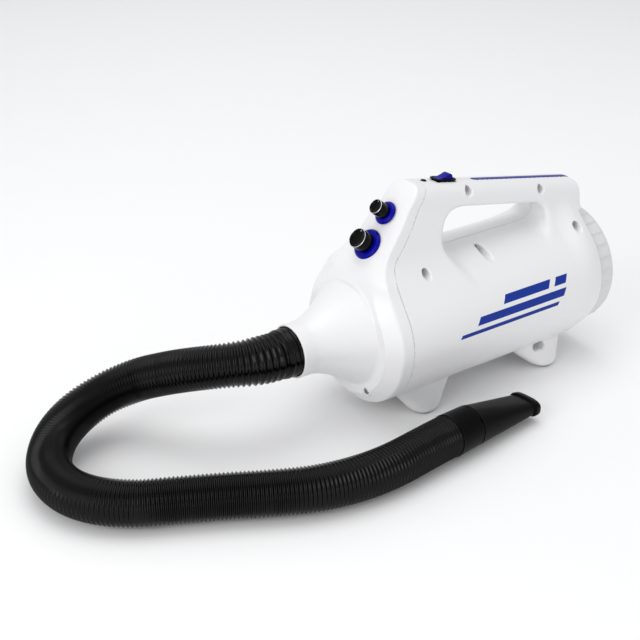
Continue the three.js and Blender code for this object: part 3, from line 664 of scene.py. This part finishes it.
def field_piece(name, field, low, high, step, body, slot, look=None, thin=1.0, shading=None):
    """A mesh piece of a field's surface, shaded with the normals of that field or of another."""
    vertices, faces = net_surface(*sample_field(field, low, high, step))
    vertices = settle(field, vertices, step * 0.6)
    mesh = bpy.data.meshes.new(name)
    mesh.vertices.add(len(vertices))
    mesh.vertices.foreach_set("co", (vertices * MM).ravel())
    mesh.loops.add(faces.size)
    mesh.loops.foreach_set("vertex_index", faces.ravel())
    mesh.polygons.add(len(faces))
    mesh.polygons.foreach_set("loop_start", np.arange(0, faces.size, 4))
    mesh.update(calc_edges=True)
    piece = bpy.data.objects.new(name, mesh)
    bpy.context.collection.objects.link(piece)
    if thin < 1:
        reduce = piece.modifiers.new("reduce", "DECIMATE")
        reduce.ratio = thin
        depsgraph = bpy.context.evaluated_depsgraph_get()
        mesh = bpy.data.meshes.new_from_object(piece.evaluated_get(depsgraph))
        piece.modifiers.clear()
        piece.data = mesh
    mesh.validate()
    mesh.shade_smooth()
    points = np.empty(len(mesh.vertices) * 3)
    mesh.vertices.foreach_get("co", points)
    points = points.reshape(-1, 3) / MM
    normals = gradient(field, points, 0.25)
    if shading:
        skin = np.abs(shading(*points.T)) < SKIN
        normals[skin] = gradient(shading, points[skin], 0.25)
    normals /= np.maximum(np.linalg.norm(normals, axis=1), 1e-6)[:, None]
    mesh.normals_split_custom_set_from_vertices(normals.tolist())
    mesh.materials.append(MATERIALS[look or slot])
    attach(piece, body)
    return piece


# ---- materials
def node(tree, kind, **values):
    """A new shader node; each value sets its property, or else its input, of that name."""
    made = tree.nodes.new(kind)
    for key, value in values.items():
        if hasattr(made, key):
            setattr(made, key, value)
        else:
            made.inputs[key.replace("_", " ")].default_value = value
    return made


def material(name, color, roughness, metallic=0.0, spread=0.05, speckle=0.04, grain=900, bump=0.05,
             stretch=(1, 1, 1), cells=False, specular=0.5):
    """A surface with fine grain, slow changes of tone and a gloss that is not the same all over."""
    made = bpy.data.materials.new(name)
    made.use_nodes = True
    tree = made.node_tree
    shader = tree.nodes["Principled BSDF"]
    shader.inputs["Metallic"].default_value = metallic
    shader.inputs["Specular IOR Level"].default_value = specular
    place = node(tree, "ShaderNodeTexCoord")
    mapping = node(tree, "ShaderNodeMapping")
    mapping.inputs["Scale"].default_value = stretch
    tree.links.new(place.outputs["Object"], mapping.inputs["Vector"])
    if cells:
        fine = node(tree, "ShaderNodeTexVoronoi", Scale=grain)
        fine_value = fine.outputs["Distance"]
    else:
        fine = node(tree, "ShaderNodeTexNoise", Scale=grain, Detail=3.0)
        fine_value = fine.outputs["Fac"]
    slow = node(tree, "ShaderNodeTexNoise", Scale=14.0, Detail=4.0)
    for texture in (fine, slow):
        tree.links.new(mapping.outputs["Vector"], texture.inputs["Vector"])

    tone = node(tree, "ShaderNodeMapRange", To_Min=1 - speckle, To_Max=1.0)
    tree.links.new(slow.outputs["Fac"], tone.inputs["Value"])
    paint = node(tree, "ShaderNodeVectorMath", operation="SCALE")
    paint.inputs[0].default_value = color
    tree.links.new(tone.outputs["Result"], paint.inputs["Scale"])
    tree.links.new(paint.outputs["Vector"], shader.inputs["Base Color"])

    gloss = node(tree, "ShaderNodeMapRange", To_Min=roughness - spread, To_Max=roughness + spread)
    blend = node(tree, "ShaderNodeMath", operation="ADD")
    blend.use_clamp = True
    half = node(tree, "ShaderNodeMath", operation="MULTIPLY")
    half.inputs[1].default_value = 0.5
    tree.links.new(fine_value, blend.inputs[0])
    tree.links.new(slow.outputs["Fac"], blend.inputs[1])
    tree.links.new(blend.outputs["Value"], half.inputs[0])
    tree.links.new(half.outputs["Value"], gloss.inputs["Value"])
    tree.links.new(gloss.outputs["Result"], shader.inputs["Roughness"])

    relief = node(tree, "ShaderNodeBump", Strength=bump, Distance=0.0003)
    tree.links.new(fine_value, relief.inputs["Height"])
    tree.links.new(relief.outputs["Normal"], shader.inputs["Normal"])
    return made


# Colour, roughness and what differs from an even plastic, for each of the record's slots, for the print
# and for the cap, which is drawn with a darker copy of the white shell's colour.
LOOKS = {
    # a darker copy of the white shell's colour, drawn on the intake cap
    "cap_darker_white": ((0.68, 0.68, 0.685), 0.42, {"grain": 1300, "bump": 0.08, "speckle": 0.03}),
    "blue_print": ((0.003, 0.03, 0.30), 0.5, {"speckle": 0.1, "specular": 0.2}),
    "white_shell": ((0.80, 0.80, 0.805), 0.34, {"grain": 1500, "bump": 0.06, "speckle": 0.025}),
    "blue_plastic": ((0.0008, 0.001, 0.27), 0.3, {"speckle": 0.12, "specular": 0.12}),
    "black_gloss": ((0.0006, 0.0006, 0.0007), 0.12, {"bump": 0.02, "specular": 0.1}),
    "black_plastic": ((0.001, 0.001, 0.0011), 0.3, {"grain": 1100, "bump": 0.08, "specular": 0.06}),
    "silver_trim": ((0.82, 0.82, 0.84), 0.14, {"metallic": 1.0, "bump": 0.02}),
    "hose_plastic": ((0.0006, 0.0006, 0.0007), 0.2, {"grain": 700, "bump": 0.03, "specular": 0.18}),
    "pad_rubber": ((0.03, 0.03, 0.031), 0.8, {"grain": 1300, "bump": 0.3, "speckle": 0.2}),
    "filter_foam": ((0.05, 0.05, 0.055), 0.95, {"grain": 700, "bump": 1.0, "cells": True}),
    "screw_steel": ((0.36, 0.36, 0.37), 0.35, {"metallic": 1.0, "spread": 0.1}),
    "motor_steel": ((0.50, 0.50, 0.52), 0.35, {"metallic": 1.0, "stretch": (0.1, 1, 1)}),
    "motor_aluminium": ((0.7, 0.7, 0.72), 0.4, {"metallic": 1.0, "spread": 0.1}),
    "copper": ((0.72, 0.30, 0.14), 0.35, {"metallic": 1.0, "stretch": (1, 6, 6), "bump": 0.5}),
    "carbon": ((0.02, 0.02, 0.021), 0.6, {"speckle": 0.3}),
    "mica": ((0.42, 0.35, 0.24), 0.55, {"speckle": 0.3, "cells": True}),
    "circuit_board": ((0.02, 0.19, 0.07), 0.4, {"speckle": 0.3}),
}


def build_materials():
    return {name: material(name, color, roughness, **more)
            for name, (color, roughness, more) in LOOKS.items()}


def paint_frame():
    """Gives every CAD node its slot's material."""
    for part in frame["record"]["subparts"]:
        piece = frame["nodes"][part["node"]]
        piece.data.materials.clear()
        piece.data.materials.append(MATERIALS[part["material_slot"]])


# ---- hose and nozzle
def hose_curve():
    """The hose's middle line as evenly spaced points, through the same route as the CAD hose."""
    route = np.array(HOSE_ROUTE, float)
    before = 2 * route[0] - route[1]
    after = 2 * route[-1] - route[-2]
    knots = np.vstack([before, route, after])
    points = []
    for i in range(1, len(knots) - 2):
        p0, p1, p2, p3 = knots[i - 1:i + 3]
        gaps = [np.linalg.norm(b - a) ** 0.5 for a, b in ((p0, p1), (p1, p2), (p2, p3))]
        m1 = gaps[1] * ((p1 - p0) / gaps[0] - (p2 - p0) / (gaps[0] + gaps[1]) + (p2 - p1) / gaps[1])
        m2 = gaps[1] * ((p2 - p1) / gaps[1] - (p3 - p1) / (gaps[1] + gaps[2]) + (p3 - p2) / gaps[2])
        for t in np.arange(0, 1, 0.02):
            points.append((2 * t ** 3 - 3 * t ** 2 + 1) * p1 + (t ** 3 - 2 * t ** 2 + t) * m1
                          + (3 * t ** 2 - 2 * t ** 3) * p2 + (t ** 3 - t ** 2) * m2)
    points.append(knots[-2])
    line = np.array(points)
    along = np.concatenate([[0], np.cumsum(np.linalg.norm(np.diff(line, axis=0), axis=1))])
    even = np.linspace(0, along[-1], HOSE_POINTS)
    return np.stack([np.interp(even, along, line[:, k]) for k in range(3)], 1), even


def hose_rings(line, along, places):
    """Middles and cross frames of the hose at those places, carried along without twisting."""
    heading = np.gradient(line, along, axis=0)
    heading /= np.linalg.norm(heading, axis=1)[:, None]
    up = np.array([0.0, 0.0, 1.0])
    asides, ups = [], []
    for way in heading:
        up = up - way * (up @ way)
        up /= np.linalg.norm(up)
        ups.append(up)
        asides.append(np.cross(up, way))
    picked = []
    for rows in (line, asides, ups):
        columns = np.array(rows).T
        picked.append(np.stack([np.interp(places, along, column) for column in columns], 1))
    return picked


def build_hose(line, along, ends):
    """The hose with its ring ribs, which are coarse beside the outlet and fine further on."""
    length = along[-1]
    pitch = RIB_PITCH + 1.8 * (1 - smooth_step(along, 15, 70))
    turns = np.concatenate([[0], np.cumsum(np.diff(along) / pitch[:-1])])
    rib_count = int(turns[-1])
    phase = np.linspace(0, rib_count, rib_count * RIB_STEPS + 1)
    places = np.interp(phase, turns, along)
    places *= length / places[-1]
    coarse = 1 - smooth_step(places, 8, 70)
    radius = HOSE_R - 0.1 + 2.4 * coarse
    depth = RIB_DEPTH + 0.9 * coarse
    ridge = radius - depth * (0.5 - 0.5 * np.cos(2 * math.pi * phase)) ** 0.7
    middles, asides, ups = hose_rings(line, along, places)
    middles = middles[:, None, :]
    sides = 40
    angles = 2 * math.pi * np.arange(sides) / sides
    around = np.cos(angles)[None, :, None] * asides[:, None, :]
    around = around + np.sin(angles)[None, :, None] * ups[:, None, :]
    outer = middles + ridge[:, None, None] * around
    inner = (middles + (ridge - 2.2)[:, None, None] * around)[::-1][::3]
    rings = np.concatenate([outer, inner])
    faces = grid_faces(len(rings), sides, closed_rows=True)
    hose = new_piece("corrugated_hose", rings.reshape(-1, 3), faces, "body", "hose_plastic")
    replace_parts(hose, "air_hose")


def nozzle_matrix(line):
    """Its origin is the hose's end, its X leads on from there and its Z points up."""
    end = Vector(line[-1])
    heading = Vector(np.array(HOSE_ROUTE[-1], float) - np.array(HOSE_ROUTE[-2], float)).normalized()
    aside = Vector((0, 0, 1)).cross(heading).normalized()
    return basis(heading, aside, heading.cross(aside), end)


def collar_field(matrix):
    """The collar on the hose's end, with a bead, an inner sleeve and six notches."""
    def field(x, y, z):
        u, v, w = local(matrix, x, y, z)
        r = np.hypot(v, w)
        outside = 21.4 - 0.8 * np.clip(u / COLLAR_LENGTH, 0, 1)
        wall = both(r - outside, slab(u, 0.3, COLLAR_LENGTH), 1.2)
        bead = np.hypot(u - 1.9, r - 20.1) - 1.3
        tube = either(wall, bead, 0.6)
        tube = either(tube, both(r - SLEEVE_R, slab(u, 0.3, SLEEVE_LENGTH), 0.5))
        tube = without(tube, both(r - 15.5, slab(u, -4, 40)))
        for k in range(6):
            turn = math.pi / 3 * k + 0.35
            side = v * math.cos(turn) + w * math.sin(turn)
            across = -v * math.sin(turn) + w * math.cos(turn)
            notch = both(np.hypot(u - 30.3, across * 0.42) - 1.5, 18.8 - side)
            tube = without(tube, notch, 0.4)
        return tube
    return field


def nozzle_section(share, grow, sides):
    """One ring of the nozzle: round at the collar, a flat slot at the tip."""
    ease = share ** 0.9
    wide, high = [NOZZLE_R + (tip - NOZZLE_R) * ease + grow for tip in NOZZLE_TIP]
    power = 2 / (2 + 1.1 * share)
    angles = 2 * math.pi * np.arange(sides) / sides
    c, s = np.cos(angles), np.sin(angles)
    return (wide * np.sign(c) * np.abs(c) ** power,
            high * np.sign(s) * np.abs(s) ** power - NOZZLE_DROP * share)


def build_collar(matrix):
    centre = np.array(matrix @ Vector((16, 0, 0)))
    collar = field_piece("hose_end_collar", collar_field(matrix), centre - 30, centre + 30, 0.7,
                         "body", "black_plastic")
    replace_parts(collar, "nozzle_collar")
    return collar


def build_nozzle(matrix):
    """The flat nozzle as one wall, from the collar along the outside to the lip and back inside."""
    sides = 56
    lip = [(106.6, 0), (107.2, 0.9), (108.2, 1.7), (109.4, 2.0), (114, 2.0), (115.4, 1.6), (116, 0.8),
           (116.2, -0.4), (115.9, -1.6), (114.8, -NOZZLE_WALL)]
    outer = [(30.3, -0.6), (30.8, 0)] + [(u, 0) for u in np.arange(34, 106, 4)] + lip
    inner = [(u, -NOZZLE_WALL) for u in np.arange(110, 34, -8)] + [(30.3, -NOZZLE_WALL)]
    rings = []
    for u, grow in outer + inner:
        share = np.clip((u - COLLAR_LENGTH) / (NOZZLE_LENGTH - COLLAR_LENGTH), 0, 1)
        v, w = nozzle_section(share, grow, sides)
        rings.append([tuple(matrix @ Vector((u, a, b))) for a, b in zip(v, w)])
    vertices = [p for ring in rings for p in ring]
    faces = grid_faces(len(rings), sides, closed_rows=True)
    nozzle = new_piece("flat_nozzle", vertices, faces, "nozzle", "black_plastic")
    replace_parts(crease(nozzle, 50), "air_nozzle")
    return nozzle


def build_cuff():
    """The ribbed cuff that joins the hose to the outlet."""
    profile = [(19, -13.7), (22.4, -13.7)]
    for k in range(4):
        start = -12.5 + 5.6 * k
        for radius, ahead in ((22.8, 0), (24.0, 1.4), (24.2, 2.4), (24.0, 3.4), (22.8, 4.8)):
            profile.append((radius, start + ahead))
    profile += [(22.6, 12), (22.6, 29.6), (19, 29.6)]
    points, faces = lathe(profile, 64, x_frame(OUTLET_X))
    cuff = new_piece("hose_end_cuff", points, faces, "body", "black_plastic", look="hose_plastic")
    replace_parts(crease(cuff, 60), "hose_cuff")
    return cuff


# ---- knobs
def build_knob(name, along, radius, ring_radius):
    """A knob with its ring, silver rim and pointer, on the panel that far from its middle."""
    place = panel_frame(along)
    dial = f"{name}_dial"
    sides = 72
    bore = 4.6
    ring = rounded([(bore, 0.35), (ring_radius - 0.1, 0.35), (ring_radius, 1.8),
                    (ring_radius - 2.0, BEZEL_HEIGHT), (bore, BEZEL_HEIGHT)], 1.8, 5)
    points, faces = lathe(ring, sides, place)
    bezel = new_piece(f"{name}_ring", points, faces, "body", "blue_plastic")
    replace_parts(bezel, f"{name}_bezel")

    base = BEZEL_HEIGHT + 0.4
    top = KNOB_TOP
    step = radius - 0.7
    neck = 3.3
    side = rounded([(neck, base), (radius - 0.1, base), (radius, base + 3), (radius - 0.1, top - 0.85),
                    (step, top - 0.8), (step, top - 0.1), (step - 0.8, top - 0.15)], 0.4, 3, closed=False)
    dish = [(r, top - 0.5 - 0.9 * (1 - (r / step) ** 2)) for r in (step - 1.6, step * 0.6, step * 0.3)]
    profile = [(0, top - 4), (neck, top - 4)] + side + dish + [(0, top - 1.4)]
    points, faces = lathe(profile, sides, place)
    knob = new_piece(f"{name}_grip", points, faces, dial, "black_gloss")
    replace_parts(crease(knob, 40), f"{name}_knob")

    rim_in, rim_out = step + 0.05, radius - 0.15
    rim = rounded([(rim_in, top - 0.7), (rim_out, top - 0.7), (rim_out, top), (rim_in, top)], 0.25, 3)
    points, faces = lathe(rim, sides, place)
    trim = new_piece(f"{name}_rim", points, faces, dial, "silver_trim")
    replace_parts(trim, f"{name}_knob_trim")

    low, high = step * 0.74, step - 0.35
    corners = [(low, -0.35), (high, -0.35), (high, 0.35), (low, 0.35)]
    rings = [at_height(corners, height) for height in (top - 0.9, top - 0.2)]
    points, faces = solid_from_rings(rings, place)
    new_piece(f"{name}_pointer", points, faces, dial, "silver_trim", smooth=False)


# ---- switch, lamp and strip on the handle
def build_switch():
    """The snap-in rocker switch: its frame and the rocker in it."""
    place = top_frame(SWITCH_X)
    # length, width, corner radius and height of each ring of the frame
    sizes = [(24, 11.2, 4, -15), (24, 11.2, 4, 0.2), (28, 14, 5.4, 0.2), (28.4, 14.4, 5.6, 0.5),
             (28, 14, 5.4, 1.2), (27, 13, 4.9, 1.5), (24.4, 10.6, 3.6, 1.5), (23.8, 10, 3.2, 1.2),
             (22, 9.2, 2, 1.0), (22, 9.2, 2, -8), (21.6, 8.8, 2, -8.4), (21.6, 8.8, 2, -14.4)]
    rings = [at_height(oblong(a, b, r), h) for a, b, r, h in sizes]
    points, faces = solid_from_rings(rings, place, closed=True)
    bezel = new_piece("switch_bezel", points, faces, "body", "black_plastic")
    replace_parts(crease(bezel, 40), "switch_frame")

    # The rocker's side view, and how much it shrinks towards both of its flanks
    outline = rounded([(-10.4, -0.4), (-9.8, 1.2), (-5, 1.9), (0.5, 4.4), (4.4, 6.6), (7.6, 5.6), (9.4, 2.0),
                       (9.6, -0.6), (4, -4.4), (-4, -4.4), (-10.3, -2)][::-1], 3.2, 5)
    middle = np.mean(outline, axis=0)
    rings = []
    for v, shrink in ((-4.4, 0.93), (-4.2, 0.975), (-3.7, 1.0), (3.7, 1.0), (4.2, 0.975), (4.4, 0.93)):
        flat = [middle + (np.array(p) - middle) * shrink for p in outline]
        rings.append([(u, v, w) for u, w in flat])
    points, faces = solid_from_rings(rings, place)
    rocker = new_piece("switch_key", points, faces, "rocker", "blue_plastic")
    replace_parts(crease(rocker, 50), "switch_rocker")


def strip_field(x, y, z):
    """A thin inlay that follows the handle's top and turns down at its rear end."""
    return both(strip_plan(x, y), slab(shell_top(x, y, z), -1.15, 0.25), 0.25)


def build_strip():
    low = (STRIP_X - 1, -4, 170)
    high = (STRIP_X + STRIP_LENGTH + 1, 4, 222)
    strip = field_piece("handle_strip", strip_field, low, high, 0.55, "body", "blue_plastic")
    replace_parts(strip, "handle_trim")


def build_lamp():
    profile = [(0, -7), (2.6, -7), (2.6, -0.2), (2.45, 0.1), (1.9, 0.35), (1.0, 0.5), (0, 0.55)]
    points, faces = lathe(profile, 40, top_frame(LAMP_X))
    lamp = new_piece("lamp_lens", points, faces, "body", "black_plastic", look="black_gloss")
    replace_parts(crease(lamp, 50), "indicator_lamp")


# ---- screws, feet and bushing
def screw_field(place, head_radius, head, shank, length):
    """A screw with a cross in its head; Z of its frame leads out of the head."""
    def field(x, y, z):
        u, v, w = local(place, x, y, z)
        r = np.hypot(u, v)
        solid = either(both(r - head_radius, slab(w, -head, 0), 0.8),
                       both(r - shank, slab(w, -length, -head / 2), 0.5))
        cross = either(both(np.abs(u) - 0.45, np.abs(v) - 2.0), both(np.abs(v) - 0.45, np.abs(u) - 2.0))
        return without(solid, both(cross, slab(w, -1.3, 3)), 0.3)
    return field


def build_screw(name, place, head_radius, head, shank, length):
    """A screw with that head radius, head height, shank radius and length."""
    ends = np.array([place @ Vector((0, 0, 0)), place @ Vector((0, 0, -length))])
    low, high = ends.min(0) - head_radius - 0.8, ends.max(0) + head_radius + 0.8
    field = screw_field(place, head_radius, head, shank, length)
    screw = field_piece(f"{name}_steel", field, low, high, 0.45, "body", "screw_steel")
    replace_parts(screw, name)


def build_screws():
    for name, (x, z, head, _mouth, _stretch) in SIDE_SCREWS.items():
        place = basis(Vector((1, 0, 0)), Vector((0, 0, 1)), Vector((0, -1, 0)), (x, -head - 0.3, z))
        build_screw(name, place, 3.7, 2.0, 2.0, head + 7)
    for side, sign in (("near", -1), ("far", 1)):
        place = basis(Vector((0, 1, 0)), Vector((0, 0, -1)), Vector((-1, 0, 0)),
                      (FACE_X + 0.5, sign * COVER_SCREW[1], COVER_SCREW[2]))
        build_screw(f"cover_screw_{side}", place, 2.9, 1.4, 2.0, 16)


def build_feet():
    profile = [(0, 0), (7.9, 0), (8.6, 0.3), (8.9, 1.0), (9, 2.6), (0, 2.6)]
    for end, x in zip(("front", "rear"), FOOT_X):
        for side, y in (("near", -FOOT_Y), ("far", FOOT_Y)):
            points, faces = lathe(profile, 48, Matrix.Translation((x, y, 0)))
            pad = new_piece(f"{end}_{side}_pad", points, faces, "body", "pad_rubber")
            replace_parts(crease(pad, 40), f"foot_pad_{end}_{side}")


def build_bushing():
    profile = rounded([(4, -5), (6.5, -5), (6.5, 0.4), (8, 0.4), (7.4, 2), (4, 2)], 0.5, 3)
    points, faces = lathe(profile, 48, x_frame(POST_REAR_X, 0, BUSHING_Z))
    bushing = new_piece("cord_grommet", points, faces, "body", "black_plastic")
    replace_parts(crease(bushing, 40), "cord_bushing")


# ---- intake cap
def cap_field(x, y, z):
    """The intake cap: a ribbed ring, a slotted end face and a spigot inside the barrel."""
    r = np.hypot(y, z - AXIS_Z)
    angle = np.arctan2(z - AXIS_Z, y)
    turn = np.mod(angle * CAP_TEETH / (2 * math.pi), 1.0)
    tooth = np.where(turn < CAP_TOOTH_SHARE, turn / CAP_TOOTH_SHARE, (1 - turn) / (1 - CAP_TOOTH_SHARE))
    grip = r - (65.6 + 1.5 * tooth * smooth_step(CAP_END_X - 1.5 - x, 0, 3))
    ring = both(grip * 0.9, slab(x, RIM_X + 0.3, CAP_END_X), 1.6)
    spigot = both(r - (INTAKE_R - 0.9), slab(x, RIM_X - 8, RIM_X + 6), 0.5)
    cap = either(ring, spigot, 0.5)
    cap = without(cap, both(r - 58.6, slab(x, RIM_X - 20, CAP_END_X - 3)), 0.5)
    wedge = 2 * math.pi / CAP_SLOTS
    near_angle = np.mod(angle + wedge / 2, wedge) - wedge / 2
    slot = both(np.abs(r * np.sin(near_angle)) - 2.2, slab(r, 17, 53), 2.0)
    cap = without(cap, both(slot, slab(x, 175, 195)), 0.8)
    dish = both(r - 12, slab(x, CAP_END_X - 1, 195), 0.8)
    return without(cap, dish, 0.8)


def build_cap():
    low = np.array([RIM_X - 10, -70, AXIS_Z - 70])
    high = np.array([CAP_END_X + 2, 70, AXIS_Z + 70])
    cap = field_piece("ribbed_intake_cap", cap_field, low, high, 1.0, "cap", "white_shell",
                      look="cap_darker_white", thin=CAP_THIN)
    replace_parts(cap, "rear_cap")


# ---- inner pieces, smaller than in CAD
def build_front_mount():
    """The rubber ring between the motor and the barrel's wall, flattened above as the barrel is."""
    angles = 2 * math.pi * np.arange(96) / 96
    y, z = np.cos(angles), np.sin(angles)
    flat = np.where(z > 0, CROWN, 1.0)
    rings = []
    for x, radius in ((-7.9, MOUNT_BORE), (-7.9, MOUNT_R - 1.3), (-7.0, MOUNT_R),
                      (1.0, MOUNT_R), (1.9, MOUNT_R - 1.3), (1.9, MOUNT_BORE)):
        scale = flat if radius > MOUNT_BORE else 1.0
        rings.append([(x, radius * a, AXIS_Z + radius * b) for a, b in zip(y, z * scale)])
    points, faces = solid_from_rings(rings, Matrix.Identity(4), closed=True)
    mount = new_piece("motor_front_ring", points, faces, "body", "pad_rubber")
    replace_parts(crease(mount, 40), "motor_mount_front")


def build_board():
    """The control board in the handle's front end, clear of the finger opening's wall."""
    outline = rounded([(-46, 160), (-26, 160), (-26, 200), (-29, 204), (-36, 204)], 1.5, 3)
    rings = [[(x, y, z) for x, z in outline] for y in (7.6, 6.0)]
    points, faces = solid_from_rings(rings, Matrix.Identity(4))
    board = new_piece("dial_board", points, faces, "body", "circuit_board")
    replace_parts(crease(board, 40), "control_board")


# ---- white shells
def build_shells():
    parts = [
        ("near_shell", near_field, joined_field, "housing_near", (SEAM_X - 4, -79, -1), (178, 2, 234)),
        ("far_shell", far_field, joined_field, "housing_far", (SEAM_X - 4, -2, -1), (178, 79, 234)),
        ("cover_shell", cover_field, whole_cover_field, "front_cover", (OUTLET_X - 3, -79, 8),
         (-22, 79, 234)),
    ]
    for name, field, shading, cad_node, low, high in parts:
        shell = field_piece(name, field, low, high, SHELL_STEP, "body", "white_shell",
                            thin=SHELL_THIN, shading=shading)
        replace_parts(shell, cad_node)


# ---- printed stripes
def barrel_point(x, z, radius):
    """The point of the near side at that x and z."""
    rise = (z - AXIS_Z) / (CROWN if z > AXIS_Z else 1.0)
    return (x, -math.sqrt(radius * radius - rise * rise), z)


def build_stripes():
    """Plain slanted bars on the near side, as thin prints that follow the barrel."""
    for number, (x0, x1, z0, z1) in enumerate(BARS):
        corners = ((x0, PRINT_IN), (x1, PRINT_IN), (x1, PRINT_OUT), (x0, PRINT_OUT))
        rings = []
        for z in np.linspace(z0, z1, 9):
            shift = BAR_LEAN * (z - z0)
            rings.append([barrel_point(x + shift, z, radius) for x, radius in corners])
        points, faces = solid_from_rings(rings, Matrix.Identity(4))
        new_piece(f"printed_bar_{number}", points, faces, "body", "blue_plastic", look="blue_print",
                  smooth=False)


# ---- stage
def build_world():
    world = bpy.data.worlds.new("studio")
    bpy.context.scene.world = world
    world.use_nodes = True
    sky = world.node_tree.nodes["Background"]
    sky.inputs["Color"].default_value = (0.98, 0.985, 1.0, 1)
    sky.inputs["Strength"].default_value = 0.73


def build_floor():
    mesh = bpy.data.meshes.new("floor")
    size = 6.0
    corners = [(-size, -size, 0), (size, -size, 0), (size, size, 0), (-size, size, 0)]
    mesh.from_pydata(corners, [], [(0, 1, 2, 3)])
    floor = bpy.data.objects.new("floor", mesh)
    bpy.context.scene.collection.objects.link(floor)
    mesh.materials.append(material("floor_paper", (0.92, 0.92, 0.92), 0.7, speckle=0.01, bump=0.02))


# Name, place and size in metres and power of each square light
LIGHTS = [
    ("key", (-1.8, -0.3, 0.9), 1.0, 10),
    ("fill", (-0.5, -1.9, 0.25), 1.0, 2),
    ("low", (-1.3, -1.1, 0.22), 0.5, 2.5),
    ("top", (0.1, 0.3, 2.1), 1.6, 13.5),
    ("back", (0.6, 1.8, 1.1), 1.2, 1),
]
LIGHT_TARGET = Vector((0, 0, 0.1))


def build_lights():
    for name, place, size, power in LIGHTS:
        data = bpy.data.lights.new(name, "AREA")
        data.shape = "SQUARE"
        data.size = size
        data.energy = power
        light = bpy.data.objects.new(name, data)
        light.location = place
        light.rotation_euler = (LIGHT_TARGET - Vector(place)).to_track_quat("-Z", "Y").to_euler()
        bpy.context.scene.collection.objects.link(light)


def build_stage():
    bpy.context.scene.view_settings.view_transform = "Standard"
    build_world()
    build_floor()
    build_lights()


# ---- assembly
build_camera()
MATERIALS = build_materials()
hose_line, hose_along = hose_curve()
tip = nozzle_matrix(hose_line)
build_hose(hose_line, hose_along, [build_cuff(), build_collar(tip), build_nozzle(tip)])
paint_frame()
build_knob("speed", -KNOB_SPREAD, 10.0, 15.6)
build_knob("heat", KNOB_SPREAD, 7.6, 11.9)
build_switch()
build_strip()
build_lamp()
build_screws()
build_feet()
build_bushing()
build_front_mount()
build_board()
build_cap()
build_shells()
build_stripes()
build_stage()
